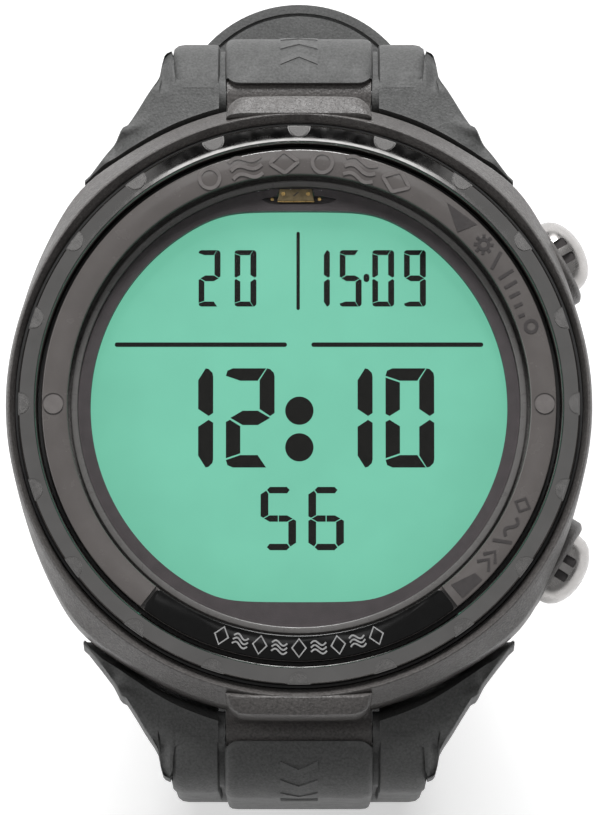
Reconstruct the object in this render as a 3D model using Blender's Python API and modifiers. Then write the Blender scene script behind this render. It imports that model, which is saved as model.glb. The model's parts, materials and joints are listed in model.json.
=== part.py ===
"""Wrist-worn dive computer, as separate pieces, in metres with +Z up.

The face looks along +Z, 12 o'clock is +Y and both buttons are on the +X side.
The origin is on the ground, under the axis of the case.  The long strap half
curls under the case and lies flat on the ground; the short half, which
carries the buckle, curls inwards above it.

Lengths are in millimetres and are turned into metres where a mesh is made.
Inside the case, heights are measured up from the outside of the rear cover.
"""

from math import atan2, cos, pi, radians, sin, sqrt

import bmesh
import bpy
from mathutils import Matrix, Vector

MM = 0.001
GAP = 0.3

# Case
BACK_Z = 46.0
CASE_BOTTOM = 2.5
CASE_STRETCH = 1.05
CAVITY_R = 18.5
LEDGE = 12.6
FRONT_BORE_R = 24.2
CASE_PROFILE = [
    (24.5, 15.0),
    (24.8, 14.5),
    (25.0, 9.5),
    (24.9, 7.4),
    (24.2, 4.0),
    (23.6, CASE_BOTTOM),
]

# Lugs and their pins
PIN_Y = 27.6
PIN_HEIGHT = 7.4
PIN_Z = BACK_Z + PIN_HEIGHT
PIN_R = 0.8
LUG_HALF = 6.0
LUG_R = 1.9

# Rear cover, its screws and the battery hatch
COVER_R = 23.3
COVER_TOP = CASE_BOTTOM - GAP
WELL_R = 12.75
WELL_WALL_R = 14.4
WELL_TOP = 7.0
HATCH_FLANGE_R = 14.2
HATCH_PLUG_R = 13.0
HATCH_FLANGE = 1.0
HATCH_TOP = 2.8
REAR_SEAL_R = 19.15
SCREW_CIRCLE_R = 21.3
SCREW_ANGLES = [45, 135, 225, 315]
SENSOR_CIRCLE_R = 16.5
SENSOR_ANGLE = 225
BATTERY_R = 12.25
BATTERY_LOW = 3.1
BATTERY_HIGH = 6.1

# Electronics, from the back to the front
BOARD_LOW = 7.4
BOARD_TOP = 8.2
BOARD_R = 17.6
CHIP_LOW = BOARD_TOP + GAP
CHIP_TOP = CHIP_LOW + 0.8
FRAME_TOP = 10.2
LIGHT_LOW = 9.6
LCD_LOW = FRAME_TOP + GAP
LCD_TOP = LCD_LOW + 1.0
MASK_LOW = LCD_TOP + GAP
MASK_TOP = MASK_LOW + 0.7
WINDOW_R = 17.8
WINDOW_TOP_Y = 16.5
WINDOW_LOW_Y = -16.9

# Rings around the lens
LENS_R = 18.7
LABEL_IN_R = 19.7
LABEL_OUT_R = 21.9
TRIM_IN_R = 22.3
TRIM_OUT_R = 23.9
RING_LOW = LEDGE + GAP
LABEL_TOP = 14.9
PLATE_FROM = 232
PLATE_TO = 308

# Buttons: places are distances from the case's axis along the button's axis
BUTTON_ANGLES = {"select": 31, "escape": -31}
BUTTON_HEIGHT = 7.8
BOSS_R = 4.3
BOSS_END = 26.0
CAP_R = 3.3
CAP_BASE = 25.0
CAP_TOP = 27.8
STEM_R = 0.8
STEM_END = 17.3

# Strap: the path's y runs outwards from the lug pin
STRAP_HALF_WIDTH = 11.0
ROOT_HALF_THICK = 1.6
STRAP_HALF_THICK = 1.4
TAPER_LENGTH = 15.0
RIB_HALF_WIDTH = 6.7
RIB_HEIGHT = 1.0
RIB_LENGTH = 20.0
CROTCH_R = 2.25
BARREL_R = 1.9
ROOT_MOVES = [("go", 0.3), ("bend", 3.4, 78)]
SHORT_MOVES = ROOT_MOVES + [("go", 11.0), ("bend", 21.2, 110), ("go", 17.0)]
TONGUE_BEND_R = 22.0
LONG_DROP = 26.6
TONGUE_LENGTH = 52.4
TIP_R = 11.6
HOLE_COUNT = 7
HOLE_PITCH = 6.0
HOLE_HALF_LENGTH = 1.2
HOLE_HALF_WIDTH = 2.1
HOLE_FROM_TIP = 10.3

# Wings: the strap's shoulders that reach round the case
WING_CIRCLE_R = 26.6
WING_OUTER_EDGE = [(7.5, 0.6), (11.0, 1.4), (12.2, -0.1), (15.3, -2.2), (16.3, -5.0), (18.3, -8.0)]
WING_TOP = 1.5
WING_LOW = -2.6

# Buckle and keeper
BUCKLE_PIN_R = 0.7
BUCKLE_BARREL_R = 2.0
BUCKLE_IN = 11.7
BUCKLE_OUT = 13.5
BUCKLE_REACH = 11.8
BUCKLE_BAR = 2.2
BUCKLE_HALF_DEPTH = 1.1
PRONG_HALF = 1.2
PRONG_EYE_R = 1.7
KEEPER_FROM_END = 13.5
KEEPER_HALF_LENGTH = 2.5
KEEPER_WALL = 1.1
KEEPER_INNER = -1.7
KEEPER_OUTER = 4.6

FINE = 56
MEDIUM = 32
SMALL = 16

FINISHES = {
    "case_plastic": ((0.030, 0.028, 0.027), 0.55, 0.0),
    "cover_plastic": ((0.022, 0.021, 0.021), 0.60, 0.0),
    "hatch_plastic": ((0.030, 0.030, 0.030), 0.45, 0.0),
    "label_plastic": ((0.080, 0.068, 0.068), 0.25, 0.0),
    "nameplate_plastic": ((0.010, 0.010, 0.010), 0.15, 0.0),
    "trim_metal": ((0.160, 0.155, 0.155), 0.25, 0.8),
    "strap_rubber": ((0.110, 0.112, 0.110), 0.75, 0.0),
    "seal_rubber": ((0.015, 0.015, 0.015), 0.60, 0.0),
    "steel": ((0.660, 0.650, 0.640), 0.18, 1.0),
    "dark_steel": ((0.300, 0.300, 0.300), 0.35, 1.0),
    "gold": ((0.700, 0.480, 0.180), 0.30, 1.0),
    "board": ((0.020, 0.120, 0.060), 0.50, 0.0),
    "black_chip": ((0.020, 0.020, 0.022), 0.50, 0.0),
    "white_plastic": ((0.700, 0.700, 0.680), 0.50, 0.0),
    "lcd_green": ((0.200, 0.600, 0.430), 0.35, 0.0),
    "mask_black": ((0.050, 0.042, 0.045), 0.60, 0.0),
    "lens_clear": ((0.800, 0.850, 0.850), 0.05, 0.0),
}


def clear_scene():
    """Start from an empty scene."""
    for thing in list(bpy.data.objects):
        bpy.data.objects.remove(thing, do_unlink=True)
    for group in list(bpy.data.collections):
        bpy.data.collections.remove(group)


def new_collection(name):
    group = bpy.data.collections.new(name)
    bpy.context.scene.collection.children.link(group)
    return group


def finish_of(node, finish):
    """The piece's own material."""
    color, roughness, metallic = FINISHES[finish]
    paint = bpy.data.materials.new(node + "_" + finish)
    paint.use_nodes = True
    shader = paint.node_tree.nodes["Principled BSDF"]
    shader.inputs["Base Color"].default_value = (*color, 1.0)
    shader.inputs["Roughness"].default_value = roughness
    shader.inputs["Metallic"].default_value = metallic
    paint.diffuse_color = (*color, 1.0)
    return paint


def as_object(name, bm, finish=None):
    """A mesh object from bm, in millimetres: a part with a finish, or a cutter."""
    bmesh.ops.scale(bm, vec=(MM, MM, MM), verts=bm.verts)
    mesh = bpy.data.meshes.new(name)
    bm.to_mesh(mesh)
    bm.free()
    thing = bpy.data.objects.new(name, mesh)
    if finish is None:
        CUTTERS.objects.link(thing)
        thing.hide_render = True
        thing.display_type = "WIRE"
    else:
        PARTS.objects.link(thing)
        mesh.materials.append(finish_of(name, finish))
    return thing


def put(thing, place, turn=(0.0, 0.0, 0.0)):
    """Move the piece to a place in millimetres."""
    thing.location = Vector(place) * MM
    thing.rotation_euler = turn
    return thing


def smooth(thing):
    thing.data.shade_smooth()
    thing.data.set_sharp_from_angle(angle=radians(35))
    return thing


def turned(name, profile, steps, finish=None, closed=False):
    """A turned piece. The profile (radius, height) runs down its outer side."""
    bm = bmesh.new()
    points = [bm.verts.new((r, 0.0, z)) for r, z in profile]
    for a, b in zip(points, points[1:]):
        bm.edges.new((a, b))
    if closed:
        bm.edges.new((points[-1], points[0]))
    thing = as_object(name, bm, finish)
    screw = thing.modifiers.new("turn", "SCREW")
    screw.steps = steps
    screw.render_steps = steps
    screw.use_merge_vertices = True
    screw.merge_threshold = 0.00001
    screw.use_smooth_shade = True
    return thing


def ring_profile(inner, outer, low, high):
    """The section of a plain ring, in turned()'s order."""
    return [(inner, high), (outer, high), (outer, low), (inner, low)]


def disc_profile(radius, low, high):
    return [(0.0, high), (radius, high), (radius, low), (0.0, low)]


def round_profile(ring_radius, wire_radius, height, sides):
    """The section of an O-ring."""
    steps = [pi / 2 - 2 * pi * i / sides for i in range(sides)]
    return [(ring_radius + wire_radius * cos(a), height + wire_radius * sin(a)) for a in steps]


def rod(name, radius, start, end, sides, finish=None):
    """A plain cylinder between two points."""
    start, end = Vector(start), Vector(end)
    turn = (end - start).to_track_quat("Z", "Y").to_matrix().to_4x4()
    spot = Matrix.Translation((start + end) / 2) @ turn
    bm = bmesh.new()
    bmesh.ops.create_cone(
        bm,
        cap_ends=True,
        segments=sides,
        radius1=radius,
        radius2=radius,
        depth=(end - start).length,
        matrix=spot,
    )
    return as_object(name, bm, finish)


def block(name, low, high, finish=None):
    """A box between two corners."""
    low, high = Vector(low), Vector(high)
    size = high - low
    bm = bmesh.new()
    bmesh.ops.create_cube(bm, size=1.0)
    bmesh.ops.scale(bm, vec=size, verts=bm.verts)
    bmesh.ops.translate(bm, vec=(low + high) / 2, verts=bm.verts)
    return as_object(name, bm, finish)


def loft(name, rings, finish=None):
    """A solid through rings of points, with its first and last ring capped."""
    bm = bmesh.new()
    rows = [[bm.verts.new(p) for p in ring] for ring in rings]
    for a, b in zip(rows, rows[1:]):
        for i in range(len(a)):
            j = (i + 1) % len(a)
            bm.faces.new((a[i], a[j], b[j], b[i]))
    bm.faces.new(list(reversed(rows[0])))
    bm.faces.new(rows[-1])
    bmesh.ops.recalc_face_normals(bm, faces=bm.faces)
    return as_object(name, bm, finish)


def prism(name, outline, low, high, finish=None):
    """A flat outline of (x, y) points between two heights."""
    return loft(name, [[(x, y, z) for x, y in outline] for z in (low, high)], finish)


def side_prism(name, outline, half_width, finish=None):
    """A side view of (y, z) points, as wide as the strap runs across."""
    return loft(name, [[(x, y, z) for y, z in outline] for x in (-half_width, half_width)], finish)


def combine(target, tool, operation):
    step = target.modifiers.new(tool.name, "BOOLEAN")
    step.object = tool
    step.operation = operation
    step.solver = "EXACT"
    return target


def cut(target, tool):
    return combine(target, tool, "DIFFERENCE")


def join(target, tool):
    return combine(target, tool, "UNION")


def arc(radius, start, end, steps, middle=(0.0, 0.0)):
    """Points on an arc, with its angles in degrees."""
    angles = [radians(start + (end - start) * i / steps) for i in range(steps + 1)]
    return [(middle[0] + radius * cos(a), middle[1] + radius * sin(a)) for a in angles]


def polar(radius, degrees, height=0.0):
    return (radius * cos(radians(degrees)), radius * sin(radians(degrees)), height)


# ---------------------------------------------------------------- case


def lug_outline():
    """Side view of a lug block, with y outwards from its pin."""
    nose = arc(LUG_R, 90, -90, 8)
    hood = [(-7.0, 7.2), (-2.7, 7.2), (-1.7, 5.8), (-1.4, 3.6), (-1.4, LUG_R)]
    return hood + nose + [(-3.6, -3.4), (-7.0, -3.4)]


def make_case():
    """Case middle: oval outside, round bores inside, lugs and button bosses."""
    profile = [(0.0, CASE_PROFILE[0][1])] + CASE_PROFILE + [(0.0, CASE_BOTTOM)]
    case = turned("case_body", profile, FINE, "case_plastic")
    put(case, (0.0, 0.0, BACK_Z))
    case.scale = (1.0, CASE_STRETCH, 1.0)
    for side, turn in (("upper", 0.0), ("lower", pi)):
        lug = side_prism("lug_" + side, lug_outline(), LUG_HALF)
        sign = 1 if turn == 0.0 else -1
        join(case, put(lug, (0.0, sign * PIN_Y, PIN_Z), (0.0, 0.0, turn)))
    for name, degrees in BUTTON_ANGLES.items():
        start = polar(21.0, degrees, BUTTON_HEIGHT)
        boss = rod("boss_" + name, BOSS_R, start, polar(BOSS_END, degrees, BUTTON_HEIGHT), 24)
        join(case, put(boss, (0.0, 0.0, BACK_Z)))
    cut_case(case)
    return case


def cut_case(case):
    """The case's cavity, front bore, pin holes, screw holes and button bores."""
    bore = [
        (0.0, 18.0),
        (FRONT_BORE_R, 18.0),
        (FRONT_BORE_R, LEDGE),
        (CAVITY_R, LEDGE),
        (CAVITY_R, 0.0),
        (0.0, 0.0),
    ]
    cut(case, put(turned("case_bore", bore, FINE), (0.0, 0.0, BACK_Z)))
    for sign in (1, -1):
        hole = rod("lug_hole_%d" % (sign + 1), PIN_R + GAP, (-9.0, 0.0, 0.0), (9.0, 0.0, 0.0), 12)
        cut(case, put(hole, (0.0, sign * PIN_Y, PIN_Z)))
    for degrees in SCREW_ANGLES:
        hole = rod("screw_hole_%d" % degrees, 0.95, (0.0, 0.0, 1.0), (0.0, 0.0, 6.8), 10)
        cut(case, put(hole, polar(SCREW_CIRCLE_R, degrees, BACK_Z)))
    for name, degrees in BUTTON_ANGLES.items():
        steps = [
            (0.0, 30.0),
            (CAP_R + GAP, 30.0),
            (CAP_R + GAP, 23.5),
            (3.0, 23.5),
            (3.0, 22.1),
            (2.1, 22.1),
            (2.1, 15.0),
            (0.0, 15.0),
        ]
        bore = turned("button_bore_" + name, steps, SMALL)
        cut(case, put(bore, (0.0, 0.0, BACK_Z + BUTTON_HEIGHT), (0.0, pi / 2, radians(degrees))))


def make_cover():
    """Rear cover with the battery well, seal groove, screw pockets and sensor port."""
    profile = [
        (0.0, WELL_TOP),
        (WELL_WALL_R, WELL_TOP),
        (WELL_WALL_R, COVER_TOP),
        (18.6, COVER_TOP),
        (18.6, 1.1),
        (19.7, 1.1),
        (19.7, COVER_TOP),
        (COVER_R, COVER_TOP),
        (COVER_R, 0.5),
        (COVER_R - 0.5, 0.0),
        (HATCH_FLANGE_R + GAP, 0.0),
        (HATCH_FLANGE_R + GAP, HATCH_FLANGE + GAP),
        (HATCH_PLUG_R + GAP, HATCH_FLANGE + GAP),
        (HATCH_PLUG_R + GAP, 3.0),
        (WELL_R, 3.0),
        (WELL_R, BATTERY_HIGH + GAP),
        (0.0, BATTERY_HIGH + GAP),
    ]
    cover = put(turned("rear_cover", profile, FINE, "cover_plastic"), (0.0, 0.0, BACK_Z))
    for degrees in SCREW_ANGLES:
        steps = [(0, 4), (0.95, 4), (0.95, 1.3), (1.35, 1.3), (1.35, -1), (0, -1)]
        pocket = turned("pocket_%d" % degrees, steps, 12)
        cut(cover, put(pocket, polar(SCREW_CIRCLE_R, degrees, BACK_Z)))
    port = rod("sensor_port", 0.7, (0, 0, -1), (0, 0, 3), 10)
    cut(cover, put(port, polar(SENSOR_CIRCLE_R, SENSOR_ANGLE, BACK_Z)))
    slot = block("contact_slot", (-16.0, -2.0, 3.4), (-12.0, 2.0, 8.0))
    cut(cover, put(slot, (0.0, 0.0, BACK_Z)))
    roof = rod("contact_hole", 1.6, (0, 0, 6.0), (0, 0, 8.0), 12)
    cut(cover, put(roof, (0.0, 0.0, BACK_Z)))
    seal = turned("rear_gasket", round_profile(REAR_SEAL_R, 0.4, 1.8, 6), 40, "seal_rubber", closed=True)
    put(seal, (0.0, 0.0, BACK_Z))
    for number, degrees in enumerate(SCREW_ANGLES, 1):
        shape = [(0, 6.4), (0.65, 6.4), (0.65, 1.0), (1.05, 1.0), (1.05, 0.25), (0, 0.25)]
        screw = turned("rear_screw_%d" % number, shape, 12, "steel")
        put(screw, polar(SCREW_CIRCLE_R, degrees, BACK_Z))


def make_hatch():
    """Coin-slot battery hatch, its seal, the battery and the two contacts."""
    profile = [
        (0.0, HATCH_TOP),
        (HATCH_PLUG_R, HATCH_TOP),
        (HATCH_PLUG_R, 2.5),
        (12.2, 2.5),
        (12.2, 1.5),
        (HATCH_PLUG_R, 1.5),
        (HATCH_PLUG_R, HATCH_FLANGE),
        (HATCH_FLANGE_R, HATCH_FLANGE),
        (HATCH_FLANGE_R, 0.0),
        (0.0, 0.0),
    ]
    hatch = put(turned("battery_hatch", profile, 48, "hatch_plastic"), (0.0, 0.0, BACK_Z))
    slot = block("coin_slot", (-8.0, -0.9, -1.0), (8.0, 0.9, 0.8))
    cut(hatch, put(slot, (0.0, 0.0, BACK_Z)))
    ring = turned("hatch_oring", round_profile(12.65, 0.35, 2.0, 6), 40, "seal_rubber", closed=True)
    put(ring, (0.0, 0.0, BACK_Z))
    can = [
        (0.0, BATTERY_HIGH),
        (11.0, BATTERY_HIGH),
        (11.4, BATTERY_HIGH - 0.4),
        (BATTERY_R, BATTERY_HIGH - 0.4),
        (BATTERY_R, BATTERY_LOW),
        (0.0, BATTERY_LOW),
    ]
    put(turned("battery_cell", can, 40, "steel"), (0.0, 0.0, BACK_Z))
    stud = rod("contact_centre", 1.2, (0, 0, BATTERY_HIGH + 0.1), (0, 0, BOARD_LOW - 0.1), 12, "gold")
    put(stud, (0.0, 0.0, BACK_Z))
    leaf = block("contact_side", (-13.7, -1.5, 3.7), (-13.2, 1.5, BOARD_LOW - 0.1), "gold")
    put(leaf, (0.0, 0.0, BACK_Z))


# ---------------------------------------------------------------- electronics


def button_notch(name, degrees, low, high):
    """A cutter that clears the way of a button's stem and switch."""
    notch = block(name, (14.3, -2.3, low), (20.0, 2.3, high))
    return put(notch, (0.0, 0.0, BACK_Z), (0.0, 0.0, radians(degrees)))


def make_board():
    """Circuit board and what is soldered to it."""
    board = turned("circuit_board", disc_profile(BOARD_R, BOARD_LOW, BOARD_TOP), 40, "board")
    put(board, (0.0, 0.0, BACK_Z))
    for name, degrees in BUTTON_ANGLES.items():
        cut(board, button_notch("board_notch_" + name, degrees, 6.0, 9.0))
        switch = block("switch_" + name, (14.7, -1.9, 6.5), (15.8, 1.9, 9.1), "dark_steel")
        put(switch, (0.0, 0.0, BACK_Z), (0.0, 0.0, radians(degrees)))
    processor = block("processor_chip", (-3.5, -3.5, CHIP_LOW), (3.5, 3.5, CHIP_TOP), "black_chip")
    put(processor, (2.0, 4.0, BACK_Z))
    memory = block("memory_chip", (-2.5, -1.5, CHIP_LOW), (2.5, 1.5, CHIP_TOP), "black_chip")
    put(memory, (3.0, -5.0, BACK_Z))
    crystal = block("quartz_crystal", (-1.6, -0.8, CHIP_LOW), (1.6, 0.8, CHIP_TOP), "steel")
    put(crystal, (-6.0, 7.0, BACK_Z))
    buzzer = rod("buzzer_disc", 3.6, (0, 0, CHIP_LOW), (0, 0, CHIP_TOP), 20, "gold")
    put(buzzer, (-8.0, -4.0, BACK_Z))
    sensor = rod("pressure_sensor", 1.6, (0, 0, CASE_BOTTOM + GAP), (0, 0, BOARD_LOW - GAP), 16, "steel")
    put(sensor, polar(SENSOR_CIRCLE_R, SENSOR_ANGLE, BACK_Z))


def window_outline(radius, steps):
    """The display's window: a circle with a flat at the top and at the bottom."""
    points = arc(radius, 0, 360, steps)[:-1]
    return [(x, min(max(y, WINDOW_LOW_Y), WINDOW_TOP_Y)) for x, y in points]


def make_display():
    """Display module: holder, connectors, light, liquid-crystal cell and mask."""
    holder = turned("module_frame", ring_profile(16.6, 18.2, CHIP_LOW, FRAME_TOP), 40, "white_plastic", True)
    put(holder, (0.0, 0.0, BACK_Z))
    for name, degrees in BUTTON_ANGLES.items():
        cut(holder, button_notch("holder_notch_" + name, degrees, 8.0, 9.6))
    for side, sign in (("upper", 1), ("lower", -1)):
        near, far = sorted((sign * 13.9, sign * 14.8))
        strip = block("connector_" + side, (-6.0, near, CHIP_LOW), (6.0, far, FRAME_TOP), "mask_black")
        put(strip, (0.0, 0.0, BACK_Z))
    light = turned("backlight_panel", disc_profile(13.5, LIGHT_LOW, FRAME_TOP), 32, "white_plastic")
    put(light, (0.0, 0.0, BACK_Z))
    cell = turned("lcd_panel", disc_profile(18.2, LCD_LOW, LCD_TOP), 48, "lcd_green")
    put(cell, (0.0, 0.0, BACK_Z))
    mask = turned("display_mask", disc_profile(18.2, MASK_LOW, MASK_TOP), 48, "mask_black")
    put(mask, (0.0, 0.0, BACK_Z))
    cut(mask, put(prism("window", window_outline(WINDOW_R, 48), 10.0, 14.0), (0.0, 0.0, BACK_Z)))
    cut(mask, put(block("led_pocket", (-1.9, 16.9, 10.0), (1.9, 19.0, 14.0)), (0.0, 0.0, BACK_Z)))
    led = block("backlight_led", (-1.5, 17.2, MASK_LOW), (1.5, 18.15, MASK_TOP), "gold")
    put(led, (0.0, 0.0, BACK_Z))


# ---------------------------------------------------------------- front


def sector(inner, outer, start, end, steps):
    """Outline of a piece of a ring."""
    return arc(outer, start, end, steps) + arc(inner, end, start, steps)


def make_front():
    """Lens, its gasket, the label ring with its plate, and the trim ring."""
    glass = [(0.0, 14.9), (15.0, 14.8), (18.3, 14.6), (LENS_R, 14.3), (LENS_R, RING_LOW), (0.0, RING_LOW)]
    put(turned("lens", glass, 48, "lens_clear"), (0.0, 0.0, BACK_Z))
    gasket = ring_profile(LENS_R + GAP, LABEL_IN_R - GAP, RING_LOW, 14.7)
    put(turned("lens_gasket", gasket, 48, "seal_rubber", True), (0.0, 0.0, BACK_Z))
    label = ring_profile(LABEL_IN_R, LABEL_OUT_R, RING_LOW, LABEL_TOP)
    band = put(turned("label_ring", label, FINE, "label_plastic", True), (0.0, 0.0, BACK_Z))
    seat = prism("plate_seat", sector(19.95, 21.75, PLATE_FROM, PLATE_TO, 14), 14.3, 16.0)
    cut(band, put(seat, (0.0, 0.0, BACK_Z)))
    shape = sector(20.15, 21.55, PLATE_FROM + 1, PLATE_TO - 1, 14)
    plate = prism("nameplate", shape, 14.5, 15.05, "nameplate_plastic")
    put(plate, (0.0, 0.0, BACK_Z))
    trim = [
        (TRIM_IN_R, 14.9),
        (22.7, 15.3),
        (23.3, 15.4),
        (TRIM_OUT_R, 15.0),
        (TRIM_OUT_R, RING_LOW),
        (TRIM_IN_R, RING_LOW),
    ]
    put(turned("trim_ring", trim, FINE, "trim_metal", True), (0.0, 0.0, BACK_Z))


# ---------------------------------------------------------------- buttons


def spring_curve(name, ring_radius, wire_radius, low, high, turns):
    """A coil spring as a wire along a helix."""
    steps = 10 * turns
    curve = bpy.data.curves.new(name, "CURVE")
    curve.dimensions = "3D"
    curve.bevel_depth = wire_radius * MM
    curve.bevel_resolution = 1
    curve.use_fill_caps = True
    line = curve.splines.new("POLY")
    line.points.add(steps)
    for i, point in enumerate(line.points):
        a = 2 * pi * i / 10
        height = low + (high - low) * i / steps
        point.co = (ring_radius * cos(a) * MM, ring_radius * sin(a) * MM, height * MM, 1.0)
    spring = bpy.data.objects.new(name, curve)
    curve.materials.append(finish_of(name, "steel"))
    PARTS.objects.link(spring)
    return spring


def make_button(name, degrees):
    """One button with its stem, bushing, seal, spring and retaining clip."""
    place = (0.0, 0.0, BACK_Z + BUTTON_HEIGHT)
    turn = (0.0, pi / 2, radians(degrees))
    shape = [
        (0.0, CAP_TOP),
        (1.3, 27.65),
        (2.4, 27.2),
        (3.1, 26.4),
        (CAP_R, 25.6),
        (CAP_R, CAP_BASE),
        (STEM_R, CAP_BASE),
        (STEM_R, 18.2),
        (0.5, 18.2),
        (0.5, 17.65),
        (STEM_R, 17.65),
        (STEM_R, STEM_END),
        (0.0, STEM_END),
    ]
    put(turned(name + "_button", shape, 24, "steel"), place, turn)
    bushing = turned(name + "_bushing", ring_profile(1.1, 1.75, 18.9, 20.7), SMALL, "gold", True)
    put(bushing, place, turn)
    seal = turned(name + "_oring", round_profile(1.5, 0.35, 21.4, 6), SMALL, "seal_rubber", True)
    put(seal, place, turn)
    clip = turned(name + "_clip", ring_profile(0.75, 1.4, 17.75, 18.1), SMALL, "dark_steel", True)
    cut(clip, put(block(name + "_clip_gap", (0.0, -0.45, 17.0), (2.0, 0.45, 19.0)), place, turn))
    put(clip, place, turn)
    put(spring_curve(name + "_spring", 2.2, 0.2, 22.45, 24.6, 3), place, turn)


# ---------------------------------------------------------------- strap


def follow(moves, heading=12.0, stride=12.0):
    """Places (y, z, heading, distance) along straights and bends from the pin.

    A heading is the angle below the outward direction, in degrees.
    """
    y, z, gone = 0.0, 0.0, 0.0
    places = [(y, z, heading, gone)]
    for move in moves:
        if move[0] == "go":
            y += move[1] * cos(radians(heading))
            z -= move[1] * sin(radians(heading))
            gone += move[1]
            places.append((y, z, heading, gone))
            continue
        _, radius, angle = move
        steps = max(2, round(angle / stride))
        for _ in range(steps):
            turn = angle / steps
            middle = radians(heading + turn / 2)
            chord = 2 * radius * sin(radians(turn / 2))
            y += chord * cos(middle)
            z -= chord * sin(middle)
            heading += turn
            gone += radius * radians(turn)
            places.append((y, z, heading, gone))
    return places


def offset(place, out):
    """The point a distance out from the path, on its outer side."""
    y, z, heading, _ = place
    return y + out * sin(radians(heading)), z + out * cos(radians(heading))


def half_thickness(gone):
    share = min(1.0, gone / TAPER_LENGTH)
    return ROOT_HALF_THICK + (STRAP_HALF_THICK - ROOT_HALF_THICK) * share


def band_rings(path, half_width, outer, inner):
    """Rings across the strap; outer and inner give offsets from a distance."""
    rings = []
    for place in path:
        top, low = offset(place, outer(place[3])), offset(place, inner(place[3]))
        rings.append(
            [
                (-half_width, *low),
                (half_width, *low),
                (half_width, *top),
                (-half_width, *top),
            ]
        )
    return rings


def rib_outer(gone):
    """Height of the centre rib, which sinks into the strap at its far end."""
    end = RIB_LENGTH - 3.0
    if gone <= end:
        return half_thickness(gone) + RIB_HEIGHT
    return half_thickness(gone) + RIB_HEIGHT - 1.3 * (gone - end) / 3.0


def rib_path(path):
    """The part of the path that carries the rib, with an end of its own."""
    carried = [p for p in path if 0.2 < p[3] < RIB_LENGTH - 3.0]
    after = next(p for p in path if p[3] >= RIB_LENGTH - 3.0)
    before = carried[-1]
    ends = []
    for gone in (RIB_LENGTH - 3.0, RIB_LENGTH):
        share = (gone - before[3]) / (after[3] - before[3])
        ends.append(tuple(a + (b - a) * share for a, b in zip(before[:3], after[:3])) + (gone,))
    return carried + ends


def pin_to_circle(x):
    """Distance from the lug pin to the circle round the case, at x."""
    return PIN_Y - sqrt(WING_CIRCLE_R**2 - x**2)


def wing_ring(x, outer_y):
    """Section of a wing: its inner end is round about the pin, so it can swing."""
    reach = pin_to_circle(x) - 0.1
    top = min(WING_TOP, 0.8 * reach)
    low = max(WING_LOW, -0.8 * reach)
    outer_y = max(outer_y, -reach + 0.5)
    inner = [(-sqrt(reach**2 - z**2), z) for z in (low, low / 2, 0.0, top / 2, top)]
    return [(x, y, z) for y, z in inner + [(outer_y, 0.6 * top), (outer_y, 0.8 * low)]]


def make_wing(name, sign):
    rings = [wing_ring(x, y) for x, y in WING_OUTER_EDGE]
    return loft(name, [[(sign * x, y, z) for x, y, z in ring] for ring in rings])


def make_strap_half(name, moves):
    """A strap half about its lug pin: band, rib, pin barrel, wings and crotch."""
    path = follow(moves)
    strap = loft(
        name,
        band_rings(path, STRAP_HALF_WIDTH, half_thickness, lambda gone: -half_thickness(gone)),
        "strap_rubber",
    )
    tools = [
        (join, rod(name + "_barrel", BARREL_R, (-10.8, 0, 0), (10.8, 0, 0), 16)),
        (join, make_wing(name + "_wing_right", 1)),
        (join, make_wing(name + "_wing_left", -1)),
        (join, loft(name + "_rib", band_rings(rib_path(path), RIB_HALF_WIDTH, rib_outer, lambda gone: -0.5))),
        (cut, rod(name + "_crotch", CROTCH_R, (-6.3, 0, 0), (6.3, 0, 0), 24)),
        (cut, block(name + "_lug_way", (-6.3, -4.0, -2.2), (6.3, 0.0, 4.0))),
        (cut, rod(name + "_pin_hole", PIN_R + GAP, (-10.9, 0, 0), (10.9, 0, 0), 12)),
    ]
    return strap, path, tools


def finish_strap(strap, tools, sign):
    """Put a strap half and its tools at the lug pin, and join or cut."""
    place = (0.0, sign * PIN_Y, PIN_Z)
    turn = (0.0, 0.0, 0.0 if sign > 0 else pi)
    put(strap, place, turn)
    for action, tool in tools:
        action(strap, put(tool, place, turn))


def make_short_half():
    """The 12 o'clock half, whose end turns round the buckle pin."""
    strap, path, tools = make_strap_half("strap_upper", SHORT_MOVES)
    y, z, heading, _ = path[-1]
    back = (cos(radians(heading)), -sin(radians(heading)))
    barrel = rod("buckle_barrel", BUCKLE_BARREL_R, (-11.0, y, z), (11.0, y, z), 16)
    hole = rod("buckle_pin_hole", BUCKLE_PIN_R + GAP, (-12.0, y, z), (12.0, y, z), 12)
    slot = block("prong_slot", (-1.5, -5.6, -3.0), (1.5, 4.0, 3.0))
    lean = atan2(back[1], back[0])
    slot.data.transform(Matrix.Translation(Vector((0, y, z)) * MM) @ Matrix.Rotation(lean, 4, "X"))
    tools += [(join, barrel), (cut, hole), (cut, slot)]
    finish_strap(strap, tools, 1)
    return path


def tip_cutter(tip, height):
    """What is cut off the tongue's end to leave a round tip."""
    middle = tip + TIP_R
    rounded = arc(TIP_R, -160, -20, 16, (0.0, middle))
    corner = 14.0
    outline = [(-corner, tip - 2.0)] + [(-corner, rounded[0][1])] + rounded
    outline += [(corner, rounded[-1][1]), (corner, tip - 2.0)]
    return prism("tip_cutter", outline, height - 3.0, height + 3.0)


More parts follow.
